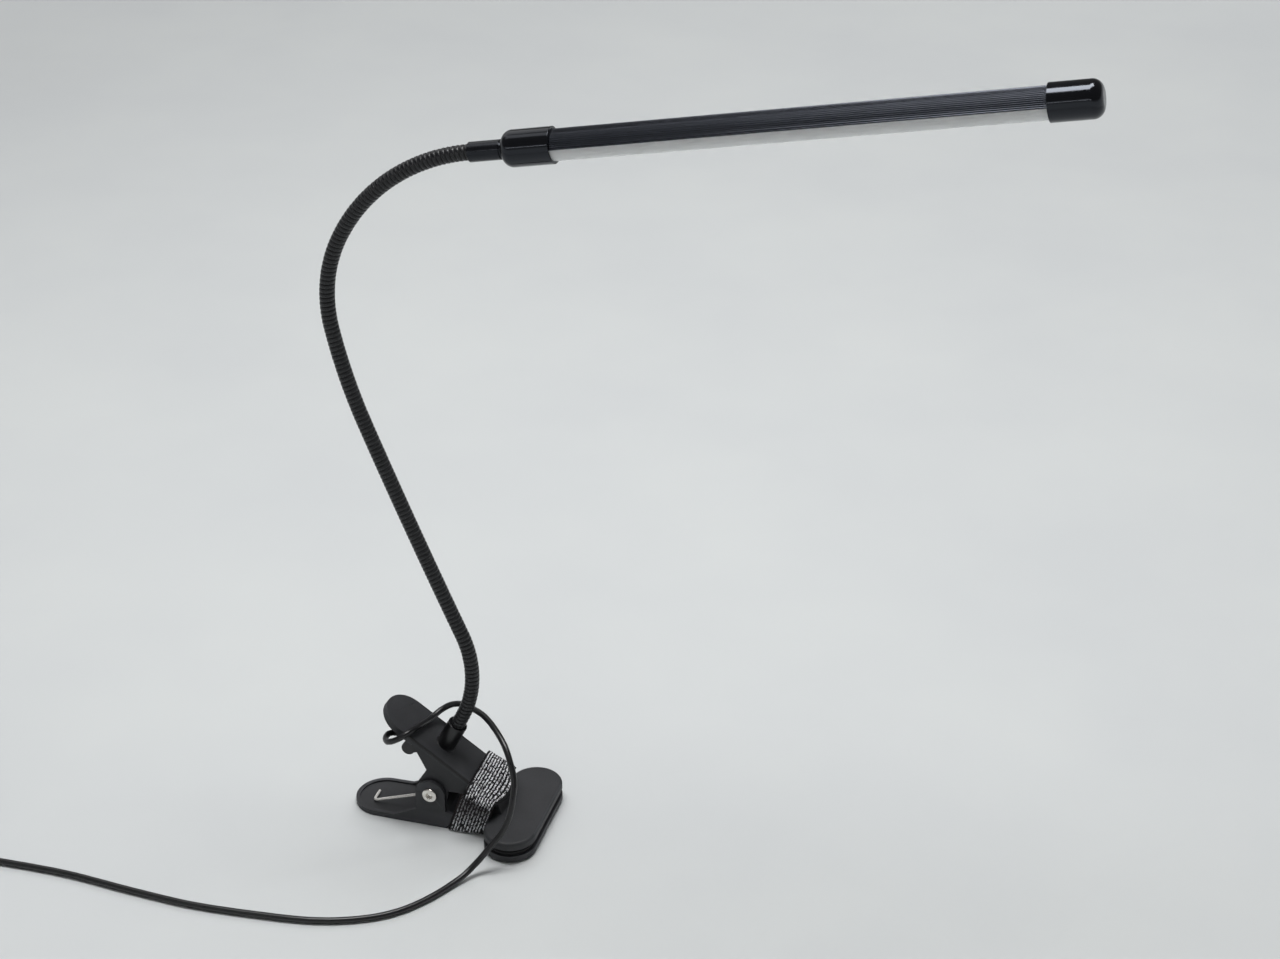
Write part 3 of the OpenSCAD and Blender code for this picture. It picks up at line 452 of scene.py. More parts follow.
def underFoldShadeShare(tree, along, foldShade):
    # Painted shade below the fold, where the top part overhangs the side part: 0 there, 1 elsewhere, by the
    # shorter way round the loop from v = 0. The four numbers give where the fold is, the taut and the loose end,
    # and the whole loop
    fold, taut, loose, whole = foldShade
    down = addNode(tree, "Math", {"operation": "PINGPONG", 1: whole / 2}, {0: along})[0]
    below = addNode(tree, "MapRange", {"From Min": taut, "From Max": loose}, {"Value": down})[0]
    above = addNode(tree, "MapRange", {"From Min": fold, "From Max": fold - 0.8 * mm}, {"Value": down})[0]
    return addNode(tree, "Math", {"operation": "MAXIMUM"}, {0: below, 1: above})[0]


def wovenElastic(name, look):
    # Braided elastic: u across the cords, v along them. A bright thread shows on the crown of each cord,
    # where sin(2 pi u / cord) is high, broken into picks by sin(2 pi v / pick + pi floor(u / cord)) and by noise
    material, tree = newMaterial(name)
    uv = addNode(tree, "UVMap", {"uv_map": "UVMap"})[0]
    wander = addNode(tree, "TexNoise", {"Scale": 1 / (2.2 * mm), "Detail": 3.0}, {"Vector": uv})[0]
    axes = addNode(tree, "SeparateXYZ", links={0: uv})
    u, v = (addNode(tree, "Math", {"operation": "DIVIDE", 1: look[size] * mm}, {0: axis})[0]
            for size, axis in (("cordMm", axes[0]), ("pickMm", axes[1])))
    swerve = addNode(tree, "Math", {"operation": "MULTIPLY_ADD", 1: 0.5}, {0: wander, 2: u})[0]
    v = addNode(tree, "Math", {"operation": "ADD"}, {0: v, 1: wander})[0]
    column = addNode(tree, "Math", {"operation": "FLOOR"}, {0: u})[0]
    half = addNode(tree, "Math", {"operation": "MULTIPLY_ADD", 1: 0.5}, {0: column, 2: v})[0]
    waves = []
    for turn in (swerve, half):
        angle = addNode(tree, "Math", {"operation": "MULTIPLY", 1: 2 * pi}, {0: turn})[0]
        waves.append(addNode(tree, "Math", {"operation": "SINE"}, {0: angle})[0])
    ridge = addNode(tree, "MapRange", {"From Min": -0.35, "From Max": 0.25}, {"Value": waves[0]})[0]
    pick = addNode(tree, "MapRange", {"From Min": -0.9, "From Max": -0.3, "To Min": 0.35},
                   {"Value": waves[1]})[0]
    flecks = addNode(tree, "Mapping", {"Scale": (1, 0.5, 1)}, {"Vector": uv})[0]
    flecks = addNode(tree, "TexNoise", {
        "Scale": 1 / (look["fleckMm"] * mm), "Detail": 3.0, "Roughness": 0.6}, {"Vector": flecks})[0]
    flecks = addNode(tree, "MapRange", {"From Min": look["flecks"][0], "From Max": look["flecks"][1]},
                     {"Value": flecks})[0]
    shares, hem, fade = [pick, flecks], look["hemMm"], 0.4      # dark hems, which fade in over 0.4 mm
    for near, far in ((hem, hem + fade), (look["widthMm"] - hem, look["widthMm"] - hem - fade)):
        shares.append(addNode(tree, "MapRange", {"From Min": near * mm, "From Max": far * mm},
                              {"Value": axes[0]})[0])
    dark, bright, foldShadeLinks = linearColour(look["dark"]), linearColour(look["bright"]), {}
    # painted shade under the fold: the bright thread dims to 30 % and the dark colour turns to a dark reddish
    # shade colour
    if look.get("foldShade"):
        outsideFoldShade = underFoldShadeShare(tree, axes[1], look["foldShade"])
        shares.append(addNode(tree, "Math", {"operation": "MULTIPLY_ADD", 1: 0.7, 2: 0.3}, {0: outsideFoldShade})[0])
        foldShadeLinks[6] = addNode(tree, "Mix", {"data_type": "RGBA", 6: linearColour(look["foldShadeColour"]), 7: dark},
                          {0: outsideFoldShade})[2]
    thread = ridge
    for share in shares:
        thread = addNode(tree, "Math", {"operation": "MULTIPLY"}, {0: thread, 1: share})[0]
    colour = addNode(tree, "Mix", {"data_type": "RGBA", 6: dark, 7: bright}, {0: thread, **foldShadeLinks})[2]
    relief = addNode(tree, "Bump", {"Strength": 0.7, "Distance": 0.25 * mm}, {"Height": thread})[0]
    gloss = addNode(tree, "MapRange", {"To Min": 0.85, "To Max": 0.4}, {"Value": thread})[0]
    shader = addNode(tree, "BsdfPrincipled", {"IOR": 1.5, "Specular IOR Level": 0.3},
                     {"Base Color": colour, "Roughness": gloss, "Normal": relief})
    addNode(tree, "OutputMaterial", links={"Surface": shader[0]})
    return material


# black textile that takes no highlight, with glinting threads, drawn coarser than real ones so that they show,
# and painted shade, dark reddish, below the fold
bandWeave = wovenElastic("Braided elastic with silver thread", {
    "cordMm": 1.5, "pickMm": 1.6, "widthMm": 18, "hemMm": 1.0, "fleckMm": 0.9, "flecks": (0.44, 0.52),
    "dark": "#08080a", "bright": "#fbfbff", "foldShadeColour": "#120a0b", "foldShade": (0.0243, 0.034, 0.044, 0.1045)})
# dull webbing, whose yarns are only a little paler than the gaps
strapWeave = wovenElastic("Woven nylon strap", {
    "cordMm": 0.9, "pickMm": 1.1, "widthMm": 6, "hemMm": 0.5, "fleckMm": 0.6, "flecks": (0.4, 0.5),
    "dark": "#17171a", "bright": "#3a3a40"})

print("cord")
# mm; lay and z are the heights of its middle on the table and in the coil, perTurn is stations
cordLook = {"diameter": 3.3, "lay": 1.75, "pitch": 1.6, "sides": 16}
coil = {"middle": (-306.0, -84.0), "outer": 26.0, "step": 3.9, "turns": 6.25, "z": 2.55, "straight": 4.0,
        "perTurn": 72}
nozzleEnd = np.array([-52.2668, 0, 36.5912])
nozzleWay = np.array([-0.903335, 0, 0.428935])
lay = cordLook["lay"]
cordRoute = np.array([
    nozzleEnd, nozzleEnd + cordLook["diameter"] * nozzleWay,
    [-60.5, -1.2, 42.4], [-64.8, -2.8, 46.2], [-69, -5.2, 49], [-71.7, -8.5, 50], [-71.7, -12.8, 49.8],
    [-69, -16.5, 50.8], [-65.3, -18, 53], [-61, -17.6, 55.6], [-58, -15.2, 57.4], [-56, -10.2, 57.2],
    [-54.6, -3.5, 56], [-52.6, 4.5, 54.8], [-49.5, 11.5, 56], [-44.5, 14.5, 58.7], [-38, 14, 60.6],
    [-30, 9, 62.4], [-21.3, 2, 64], [-12.2, -7, 63.5], [-4, -15.5, 60], [1.3, -22, 54], [4.7, -27, 47.3],
    [5.3, -31, 40.2], [4.5, -35, 30.9], [1.5, -38.5, 22.5], [-4, -43, 14.5], [-10, -49, 7],
    [-16, -58, lay + 0.8], [-26, -76, lay], [-38, -91, lay], [-54, -101.5, lay], [-76, -109, lay],
    [-104, -112.5, lay], [-140, -114.5, lay], [-175, -112.5, lay], [-215, -109, lay], [-253, -109.2, lay],
    [-280, -110, lay + 0.2],
    *([coil["middle"][0] + x, coil["middle"][1] - coil["outer"], coil["z"]] for x in (12, coil["straight"]))])


def coilPoints(turn):
    # Flat spiral in, one layer up over half a turn, spiral out: r = outer - step min(t, n - t), angle -90 - 360 t
    g = np.radians(-90 - 360 * turn)
    r = coil["outer"] - coil["step"] * np.minimum(turn, coil["turns"] - turn)
    up = np.clip((turn - coil["turns"] / 2 + 0.25) * 2, 0, 1)
    return np.stack([coil["middle"][0] + r * np.cos(g), coil["middle"][1] + r * np.sin(g),
                     coil["z"] + coil["step"] * up], -1)


loops = coilPoints(np.linspace(0, coil["turns"], int(coil["turns"] * coil["perTurn"]) + 1))
coilEnd = loops[-1] + [0, coil["straight"], 0]
plugFrom, plugZ = coilEnd[1] + 22, 4.2      # mm, where the plug's boot begins and its height
tailRoute = [coilEnd, coilEnd + [0, 8, -1], [coilEnd[0], plugFrom - 5, plugZ], [coilEnd[0], plugFrom, plugZ]]
cordPath = np.vstack([curveThrough(cordRoute, cordLook["pitch"]), loops,
                      curveThrough(tailRoute, cordLook["pitch"])]) * mm
cord = gridPiece("cord", sweepGrid(cordPath, roundSection(cordLook["diameter"] / 2 * mm, cordLook["sides"]),
                                   (0, 1, 0)), cordSheath)
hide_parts("cord_run", "cord_coil", "cord_tail")
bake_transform(cord, "clamp_base", "clamp_top", start=(0, 0, 0.006), end=(0, 0, 0.034))

strap = {"turn": 0.375, "width": 6.0, "thick": 0.5, "inner": 12.54, "outer": 26.49, "low": 0.6, "high": 8.4,
         "squareness": 8, "stations": 96, "edge": 0.15}


def strapLoop():
    # Rounded rectangle in the coil's radial plane, |x|^p + |z|^p = 1 with p = squareness, as wide as the strap
    g = radians(-90 - 360 * strap["turn"])
    outwards, across = np.array([cos(g), sin(g), 0]), np.array([-sin(g), cos(g), 0])
    a, p = np.linspace(0, 2 * pi, strap["stations"], endpoint=False), strap["squareness"]
    halfX, halfZ = (strap["outer"] - strap["inner"]) / 2, (strap["high"] - strap["low"]) / 2
    squared = (np.abs(np.cos(a)) ** p + np.abs(np.sin(a)) ** p) ** (-1 / p)
    rim = np.stack([np.cos(a), np.sin(a)], -1) * squared[:, None]
    centre = np.array([*coil["middle"], 0]) + outwards * (strap["outer"] + strap["inner"]) / 2 \
        + np.array([0, 0, (strap["high"] + strap["low"]) / 2])
    rows = []
    for out, side in ((0, -1), (0, 1), (1, 1), (1, -1)):      # inner face, then outer face
        size = np.array([halfX, halfZ]) + out * strap["thick"]
        rows.append(centre + rim[:, :1] * size[0] * outwards + rim[:, 1:] * size[1] * np.array([0, 0, 1])
                    + side * strap["width"] / 2 * across)
    return np.stack(rows, 1) * mm


def sharpEdgesRounded(piece, name, radiusMm):
    # In two steps, where faces meet at more than 30 degrees
    rounding = piece.modifiers.new(name, "BEVEL")
    rounding.width, rounding.segments, rounding.limit_method = radiusMm * mm, 2, "ANGLE"


coilStrap = gridPiece("coilStrap", strapLoop(), strapWeave, closeAlong=True)
sharpEdgesRounded(coilStrap, "strap edge", strap["edge"])
bodyAndSlot(coilStrap, "coil_tie")

boot = {"length": 10, "small": 1.95, "large": 3.2, "ringPitch": 2, "ringDepth": 0.35, "rings": (1, 8.6),
        "stations": 121, "sides": 40}


def plugBoot():
    # Tapered strain relief with rings: r(y) = r0 + (r1 - r0) y/L - depth * groove(y)
    y = np.linspace(0, boot["length"], boot["stations"])
    r = boot["small"] + (boot["large"] - boot["small"]) * y / boot["length"]
    groove = np.clip(np.cos(2 * pi * y / boot["ringPitch"]), 0, 1) ** 2
    r = r - boot["ringDepth"] * groove * ((y > boot["rings"][0]) & (y < boot["rings"][1]))
    return lathePiece("plugBoot", np.stack([r, y], 1) * mm, np.array([coilEnd[0], plugFrom, plugZ]) * mm,
                      (0, 1, 0), (0, 0, 1), plugMoulding, boot["sides"])


bodyAndSlot(plugBoot(), "plug_boot")
softEdged("plug_body", "plugBody", plugMoulding, 0.8)
softEdged("plug_shell", "plugShell", plugSteel, 0.12)

print("gooseneck")
neck = {"radius": 3.9, "rib": 0.7, "ribRound": 0.7, "pitch": 2.4, "bore": 2.35, "around": 40, "perRib": 12,
        "boreStep": 3,      # mm between the rows of the bore
        "start": (-35.2932, 57.7984), "startAngle": 63.0, "smoothFrom": 377.5,
        "path": [(5, 0), (54, 50), (125, -2), (53, -10), (51, -38), (88, -52), (17.25, 0)]}    # mm, degrees
neckSections = {
    "neck_foot": (-8, 10), "neck_bend_base": (10, 50), "neck_run_low": (50, 66), "neck_bend_side": (66, 106),
    "neck_run_mid": (106, 170), "neck_bend_mid": (170, 210), "neck_run_high": (210, 276),
    "neck_bend_top": (276, 324), "neck_end": (324, 402.25)}
neckBends = {"neck_bend_base": ("clamp_top", "neck_low"), "neck_bend_side": ("neck_low", "neck_middle"),
             "neck_bend_mid": ("neck_middle", "neck_high"), "neck_bend_top": ("neck_high", "head")}


def neckLine(s):
    # Arcs one after another: angle(s) is the piecewise straight run of the turns, and
    # each arc's point follows from its own radius, P + R (sin b - sin a, cos a - cos b)
    x, z, angle, at = *neck["start"], radians(neck["startAngle"]), 0.0
    px, pz, pa = np.zeros(len(s)), np.zeros(len(s)), np.zeros(len(s))
    for number, (length, turn) in enumerate(neck["path"]):
        last = number == len(neck["path"]) - 1
        here = (s >= at if number else s > -1e9) & ((s < at + length) | last)
        u, bend = s[here] - at, radians(turn)
        b = angle + bend * u / length
        if bend:
            radius = length / bend
            px[here] = x + radius * (np.sin(b) - sin(angle))
            pz[here] = z - radius * (np.cos(b) - cos(angle))
            x = x + radius * (sin(angle + bend) - sin(angle))
            z = z - radius * (cos(angle + bend) - cos(angle))
        else:
            px[here], pz[here] = x + u * cos(angle), z + u * sin(angle)
            x, z = x + length * cos(angle), z + length * sin(angle)
        pa[here] = b
        angle, at = angle + bend, at + length
    return px, pz, pa


def neckSection(node, span):
    # Wound hose: r(s, a) = R - rib (1 - sqrt(1 - (2 frac(s/pitch - a/2pi) - 1)^2)^0.7), back through the bore
    rows = np.arange(span[0], span[1] + 1e-6, neck["pitch"] / neck["perRib"])
    rows[-1] = span[1]
    a = np.arange(neck["around"]) * 2 * pi / neck["around"]
    phase = np.mod(rows[:, None] / neck["pitch"] - a / (2 * pi), 1)
    rib = np.sqrt(np.clip(1 - (2 * phase - 1) ** 2, 0, 1)) ** neck["ribRound"]
    r = neck["radius"] - neck["rib"] * (1 - rib)
    r = np.where(rows[:, None] > neck["smoothFrom"], neck["radius"] - neck["rib"], r)
    inner = np.linspace(span[1], span[0], max(3, int((span[1] - span[0]) / neck["boreStep"])))
    s = np.concatenate([rows, inner])
    r = np.vstack([r, np.full((len(inner), len(a)), neck["bore"])])
    x, z, angle = neckLine(s)
    outwards = np.stack([-np.sin(angle), np.zeros(len(s)), np.cos(angle)], -1)
    across = np.array([0, -1, 0])
    grid = np.stack([x, np.zeros(len(s)), z], -1)[:, None] + r[..., None] * (
        np.cos(a)[None, :, None] * outwards[:, None] + np.sin(a)[None, :, None] * across)
    piece = gridPiece("hose_" + node, grid * mm, neckEnamel, closeAlong=True,
                      rulers=(np.append(a, 2 * pi) / (2 * pi), np.append(s, s[-1]) / neck["pitch"]))
    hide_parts(node)
    if node in neckBends:
        ends = [np.array([v[0], 0, w[0]]) * mm for v, w in (neckLine(np.array([float(e)]))[:2] for e in span)]
        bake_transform(piece, *neckBends[node], start=tuple(ends[0]), end=tuple(ends[1]))
    else:
        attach(piece, bodyOf[node])


for node, span in neckSections.items():
    neckSection(node, span)

print("spring and band")
spring = {"wire": 1.6, "radius": 4.4, "turns": 5, "pitch": 1.9,      # mm
          "low": (-83.3, 2.9), "foot": (9.0, 5, 2.4),                # the foot's end, and how it runs in along y
          "corner": 0.7, "legSteps": (2.4, 6), "openTurn": 0.3, "aside": 1.4,
          "hold": (-25.8, 2.4, 0.15),    # where the upper leg ends along the lever, the wall over it, and air
          "rows": 360, "sides": 14, "footPitch": 0.7}


def springPath():
    # Coil P(g) = pin + R (cos g, sin g), pitch per turn along Y, with straight legs off at a tangent
    y0 = -(spring["turns"] + spring["openTurn"]) * spring["pitch"] / 2 - spring["aside"]
    holdAt, wall, air = spring["hold"]
    pin, high = clamp["pivot"], leverPoint(holdAt, clamp["rise"] - wall - spring["wire"] / 2 - air)

    def seenFrom(p):
        return atan2(p[1] - pin[1], p[0] - pin[0]), hypot(p[0] - pin[0], p[1] - pin[1])
    lowAngle, lowReach = seenFrom(spring["low"])
    highAngle, highReach = seenFrom(high)
    g0 = lowAngle + 2 * pi + acos(spring["radius"] / lowReach)
    g1 = highAngle - acos(spring["radius"] / highReach)
    sweep = (g1 - g0 + 4 * pi) % (2 * pi) + 2 * pi * spring["turns"]
    f = np.linspace(0, 1, spring["rows"])
    g = g0 + sweep * f
    wound = np.stack([pin[0] + spring["radius"] * np.cos(g), y0 + spring["pitch"] * sweep * f / (2 * pi),
                      pin[1] + spring["radius"] * np.sin(g)], -1)
    e = np.array([spring["low"][0], y0, spring["low"][1]])
    u = (wound[0] - e) / np.linalg.norm(wound[0] - e)
    foot = [*(e + [0, reach, 0] for reach in spring["foot"]), e + spring["corner"] * u + [0, spring["corner"], 0],
            *(e + step * u for step in spring["legSteps"]), (e + wound[0]) / 2]
    tip = np.array([high[0], wound[-1][1], high[1]])
    return np.vstack([curveThrough(foot, spring["footPitch"])[:-1], (e + wound[0]) / 2, wound,
                      (wound[-1] + tip) / 2, tip])


springWirePiece = gridPiece("torsionSpring", sweepGrid(springPath() * mm, roundSection(
    spring["wire"] / 2 * mm, spring["sides"]), (1, 0, 0)), springWire)
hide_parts("torsion_spring")
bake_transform(springWirePiece, "clamp_base", "clamp_top", start=(-0.0510, 0, 0.0262), end=(-0.0560, 0, 0.0440))

band = {"width": 18.0, "thick": 1.0, "cords": 1.5, "rib": 0.16,      # mm
        "low": (-36.8, -16.45), "base": 1.1, "slope": (0.303, 0.337),    # both edges' x below, height, lean
        "air": 0.3, "inset": 1.9, "height": 26, "stations": 460, "across": 97, "window": 9,
        # y in mm and height share round half the loop, from the top's middle to the bottom's middle: the
        # top part puffs out over the lever's edge, folds in under itself and the side part hangs straight
        "half": [(0, 1), (13.0, 1), (16.4, 0.975), (18.9, 0.935), (19.9, 0.885), (19.5, 0.845), (17.4, 0.815),
                 (15.0, 0.81), (14.7, 0.79), (15.2, 0.74), (16.0, 0.6), (16.6, 0.3), (16.8, 0), (0, 0)],
        "foldPower": (1.17, 0.4),       # bends the height share, so that the fold climbs towards the jaw
        "fold": (0.795, 0.02),          # height share where the top part begins, and over how much
        "topLean": 0.22,                # how far the top part leans, mm in x for each mm of height
        "crown": 1.5, "spread": 3.6,    # mm the top part stands up in its middle, and spreads over the jaw
        "crownFrom": (0.8, 0.2), "crownHalf": 16.5,     # height share and over how much, and mm in y
        "roll": (0.35, 0.93, 0.07), "inner": 0.05}      # hems: mm rolled back, and from and over which share
leverEnd = (clamp["topEnd"] - clamp["pivot"][0] - clamp["rise"] * sin(tilt)) / cos(tilt)


def bandGrid():
    # Loop station (y, f) and share w across: z = base + (high - base) g with g = f^p(w); below the fold
    # x = low + slope (z - base), above it x = high - lean (high - z)
    scale = [1, band["height"]]
    half = np.array(band["half"]) * scale
    loop = np.vstack([half, (half * [-1, 1])[-2:0:-1]])
    closed = np.vstack([loop, loop[:1]])
    run = np.concatenate([[0], np.cumsum(np.linalg.norm(np.diff(closed, axis=0), axis=1))])
    even = np.linspace(0, run[-1], band["stations"], endpoint=False)
    station = np.stack([np.interp(even, run, closed[:, k]) for k in (0, 1)], -1)
    window, side = np.hanning(band["window"]), band["window"] // 2      # rounds the corners over about 1 mm
    padded = np.vstack([station[-side:], station, station[:side]])
    station = np.stack([np.convolve(padded[:, k], window / window.sum(), "valid") for k in (0, 1)], -1) / scale
    turned = np.roll(station, -1, 0) - np.roll(station, 1, 0)
    outY, outF = turned[:, 1:] * band["height"], -turned[:, :1]
    size = np.hypot(outY, outF)
    outY, outF = -outY / size, -outF / size
    y, f = station[:, :1], station[:, 1:]
    across = np.linspace(0, 1, band["across"])
    ribs = band["rib"] * (np.cos(2 * pi * across * band["width"] / band["cords"]) - 1)
    depth, low, span = band["roll"]
    rolled = depth * np.clip(np.abs(across - 0.5) * 2 - low, 0, 1) / span
    low, span = band["crownFrom"]
    onTop = np.clip((f - low) / span, 0, 1) * np.clip(1 - (y / band["crownHalf"]) ** 2, 0, 1)
    over = np.clip((f - band["fold"][0]) / band["fold"][1], 0, 1)
    sides = []
    for face in (0, 1):
        w = across if face else across[::-1]
        t = band["thick"] + (ribs - rolled) if face else (band["inner"] + rolled)[::-1]
        power, lowX, slope = (a + (b - a) * w for a, b in (band["foldPower"], band["low"], band["slope"]))
        highX, highZ = leverPoint(leverEnd - band["inset"] - band["width"] * (1 - w), clamp["rise"] + band["air"])
        z = band["base"] + (highZ - band["base"]) * f ** power
        ahead = band["spread"] * onTop * w ** 4
        x = (1 - over) * (lowX + slope * (z - band["base"])) \
            + over * (highX - band["topLean"] * (highZ - z)) + ahead
        z = z - ahead * tan(tilt)
        lift = t + band["crown"] * onTop * np.sin(pi * w)
        nx, nz = sin(tilt) * outF * f, np.where(f > 0.5, cos(tilt), 1) * outF
        sides.append(np.stack([x + nx * lift, y + outY * t + 0 * w, z + nz * lift], -1))
    return np.concatenate([sides[1], sides[0]], 1)[::-1], np.append(even, run[-1])


bandLoop, bandRun = bandGrid()
bandShare = np.linspace(0, band["width"], band["across"])
elasticBand = gridPiece("elasticBand", bandLoop * mm, bandWeave, closeAlong=True,
                        rulers=(np.concatenate([bandShare, band["width"] + bandShare, [0]]) * mm, bandRun * mm))
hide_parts("elastic_band")
lowEdge, highEdge = leverPoint(15, 5), leverPoint(15, 20)
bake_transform(elasticBand, "clamp_base", "clamp_top", start=(lowEdge[0] * mm, 0, lowEdge[1] * mm),
         end=(highEdge[0] * mm, 0, highEdge[1] * mm))

print("clamp")
softEdged("lower_lever", "lowerLever", leverPlastic, 0.35)
softEdged("upper_lever", "upperLever", upperPlastic, 0.28)
softEdged("lower_jaw_pad", "lowerJawPad", padRubber, 0.15, 2)
softEdged("upper_jaw_pad", "upperJawPad", padRubber, 0.15, 2)
softEdged("neck_ferrule", "neckFerrule", zincSteel, 0.15, 2)
softEdged("ferrule_nut", "ferruleNut", zincSteel, 0.25, 2)
softEdged("cord_gland", "cordElbow", elbowRubber, 0.3)

rivetLook = {"face": 15.7, "headRadius": 4.1, "headThick": 1.4, "shank": 2.0, "hollow": 1.75, "rim": 0.75,
             "lip": 0.45, "lipReach": 0.9, "dip": 0.12, "deep": 1.5, "coneTop": (0.5, 1.1), "steps": 12,
             "edge": 0.12}     # mm


def rivet(look):
    # Tubular rivet turned about Y: a flat head with a rounded rim, whose middle is rolled back over a hollow
    # shank. The roll is a quarter circle and the hollow's bottom is a shallow cone
    face, rimR, lipR, hollow = look["face"], look["rim"], look["lip"], look["hollow"]
    top = face + look["headThick"]
    a = np.linspace(0, pi / 2, look["steps"])
    rim = np.stack([look["headRadius"] - rimR + rimR * np.cos(a), top - rimR + rimR * np.sin(a)], 1)
    lip = np.stack([hollow + lipR - lipR * np.sin(a), top - lipR + lipR * np.cos(a)], 1)
    end = np.vstack([[look["shank"], face], [look["headRadius"], face], rim,
                     [hollow + look["lipReach"], top - look["dip"]], lip,
                     [hollow - 0.05, top - look["deep"]], [look["coneTop"][0], top - look["coneTop"][1]]])
    profile = np.vstack([(end * [1, -1])[::-1], end])
    return lathePiece("hingeRivet", profile * mm, np.array([clamp["pivot"][0], 0, clamp["pivot"][1]]) * mm,
                      (0, 1, 0), (0, 0, 1), nickelPlate)


sharpEdgesRounded(bodyAndSlot(rivet(rivetLook), "hinge_rivet"), "struck edges", rivetLook["edge"])

print("light")
softEdged("head_sleeve", "headSleeve", sleeveSatin, 0.25)
softEdged("head_nut", "headNut", zincSteel, 0.25, 2)
softEdged("rear_cap", "rearCap", capGloss, 0.3)
softEdged("front_cap", "frontCap", capGloss, 0.3)
softEdged("tube_profile", "tubeProfile", anodised, 0.08, 2)
softEdged("diffuser", "diffuserTube", diffuserFrost, 0.12, 2)
for node, material in {"led_board": solderMask, "led_chips": phosphor, "board_resistors": ceramicBody,
                       "plug_tongue": plugInsert}.items():
    for materialSlot in frame["nodes"][node].material_slots:
        materialSlot.material = material

head = {"origin": (-0.818, 385.334), "rise": 11.0}      # mm and degrees
boardLead = {"radius": 0.5, "sides": 10, "pitch": 0.5,  # mm; the way runs from the hose's bore to a pad
             "way": [[1, 0.9, 0], [8, 0.9, -0.4], [11, 1.4, -1.6], [13, 1.8, -1.9], [16.6, 1.9, -1.9]]}


def headPoint(p):
    # A point of the light's own frame, x along the tube, turned up by its rise
    c, s = cos(radians(head["rise"])), sin(radians(head["rise"]))
    return np.stack([head["origin"][0] + p[..., 0] * c - p[..., 2] * s, p[..., 1],
                     head["origin"][1] + p[..., 0] * s + p[..., 2] * c], -1)


for letter, side in (("A", 1), ("B", -1)):
    # A sheathed wire: a tube along a curve through its way's points, mirrored for the other wire
    way = curveThrough(np.array(boardLead["way"]) * [1, side, 1], boardLead["pitch"])
    tube = roundSection(boardLead["radius"] * mm, boardLead["sides"])
    lead = gridPiece("boardLead" + letter, sweepGrid(headPoint(way) * mm, tube, (0, 0, 1)), leadSheath)
    bodyAndSlot(lead, "board_leads")

print("stage and lamps")
stageLook = {
    "radius": 16.0, "rings": 32, "spokes": 72, "under": 0.0002,     # metres
    "middle": (0, 0.45, 0), "lit": (0.9, 1.9),      # the lamps' reach: metres from the middle where it fades
    "farPaper": "#cdd0d1", "paper": ("#cbcecf", "#cfd2d2"), "sky": "#f5f6f8", "world": 0.14}
lamps = {   # place, aim and size in metres, power in watts, and whether gloss shows the lamp
    "overheadSoftbox": ((0.0, 0.12, 1.65), (0.05, 0.05, 0.0), (1.1, 0.5), 21.5, True),
    "backSoftbox": ((0.25, 2.45, 1.9), (0.25, 1.85, 0.0), (2.6, 1.0), 31.0, False),
    "overheadWing": ((-0.85, 0.12, 1.65), (0.0, 0.05, 0.2), (0.55, 0.75), 1.3, True),
    "frontStrip": ((-0.35, -1.3, 0.8), (0.0, 0.0, 0.4), (1.6, 0.03), 1.2, True),
    "sideFill": ((-1.0, 0.9, 1.3), (0.0, 0.0, 0.2), (1.0, 1.0), 2.5, True)}


def seenRay(tree):
    # 1 for camera, glossy and transmission rays, 0 for the rays that light the object
    path = addNode(tree, "LightPath")
    seen = path["Is Camera Ray"]
    for other in ("Is Glossy Ray", "Is Transmission Ray"):
        seen = addNode(tree, "Math", {"operation": "MAXIMUM"}, {0: seen, 1: path[other]})[0]
    return seen


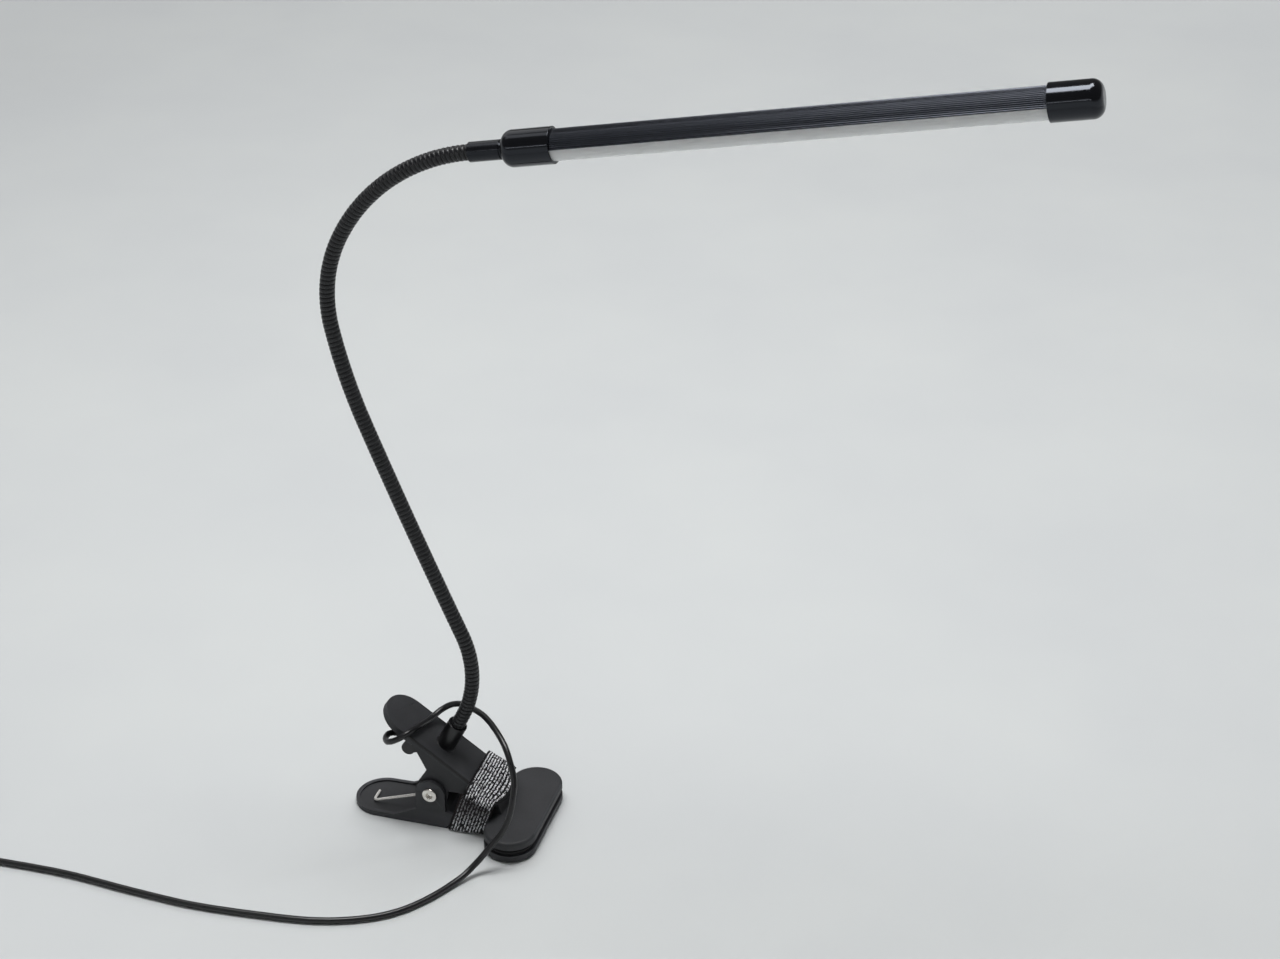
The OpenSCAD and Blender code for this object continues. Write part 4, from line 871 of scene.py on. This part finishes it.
def paperFloor():
    # A flat round sheet of paper: P(r, a) = r (cos a, sin a, 0); far out, beyond the lamps' reach, it is
    # seen as evenly pale as under them
    r = np.linspace(0.1, stageLook["radius"] ** 0.5, stageLook["rings"])[:, None] ** 2
    a = np.linspace(0, 2 * pi, stageLook["spokes"], endpoint=False)
    grid = np.stack(np.broadcast_arrays(r * np.cos(a), r * np.sin(a), r * 0 + a * 0 - stageLook["under"]), -1)
    # no gloss, and blotches too faint to read as a pattern
    paper = surfaceFinish("Matt seamless paper", {
        "colours": stageLook["paper"], "sizes": (220, 0.8),
        "roughness": (0.8, 0.9), "relief": (0.05, 0.02), "sockets": {"IOR": 1.45, "Specular IOR Level": 0.3}})
    tree = paper.node_tree
    lit, out = tree.nodes["Principled BSDF"], tree.nodes["Material Output"]
    here = addNode(tree, "TexCoord")["Object"]
    away = addNode(tree, "VectorMath", {"operation": "DISTANCE", 1: stageLook["middle"]}, {0: here})["Value"]
    far = addNode(tree, "MapRange", {
        "interpolation_type": "SMOOTHSTEP", "From Min": stageLook["lit"][0], "From Max": stageLook["lit"][1]},
        {"Value": away})[0]
    share = addNode(tree, "Math", {"operation": "MULTIPLY"}, {0: far, 1: seenRay(tree)})[0]
    glow = addNode(tree, "Emission", {"Color": linearColour(stageLook["farPaper"]), "Strength": 1.0})
    mix = addNode(tree, "MixShader", links={0: share, 1: lit.outputs[0], 2: glow[0]})
    tree.links.new(mix[0], out.inputs["Surface"])
    gridPiece("paperFloor", grid, paper, caps=(0,))


def softLamp(name, place, target, size, power, inGloss):
    light = bpy.data.lights.new(name, "AREA")
    light.shape, light.size, light.size_y, light.energy = "RECTANGLE", *size, power
    lamp = placed(name, light)
    lamp.location = place
    way = np.subtract(target, place)
    lamp.rotation_euler = (atan2(hypot(way[0], way[1]), -way[2]), 0, atan2(way[1], way[0]) - pi / 2)
    lamp.visible_glossy = inGloss


def paleWorld():
    # A dim sky to light by, and the far paper's colour near the horizon for the rays that are seen
    world = bpy.data.worlds.new("studio")
    bpy.context.scene.world = world
    world.use_nodes = True
    sky = world.node_tree
    sky.nodes.clear()
    way = addNode(sky, "TexCoord")["Generated"]
    level = addNode(sky, "SeparateXYZ", links={0: way})[2]
    level = addNode(sky, "MapRange", {"From Min": 0.2, "From Max": 0.05}, {"Value": level})[0]
    share = addNode(sky, "Math", {"operation": "MULTIPLY"}, {0: level, 1: seenRay(sky)})[0]
    dim = [channel * stageLook["world"] for channel in linearColour(stageLook["sky"])[:3]] + [1.0]
    shade = addNode(sky, "Mix", {"data_type": "RGBA", 6: dim, 7: linearColour(stageLook["farPaper"])},
                    {0: share})[2]
    soft = addNode(sky, "Background", {"Strength": 1.0}, {"Color": shade})
    addNode(sky, "OutputWorld", links={"Surface": soft[0]})


paperFloor()
for name, settings in lamps.items():
    softLamp(name, *settings)
paleWorld()
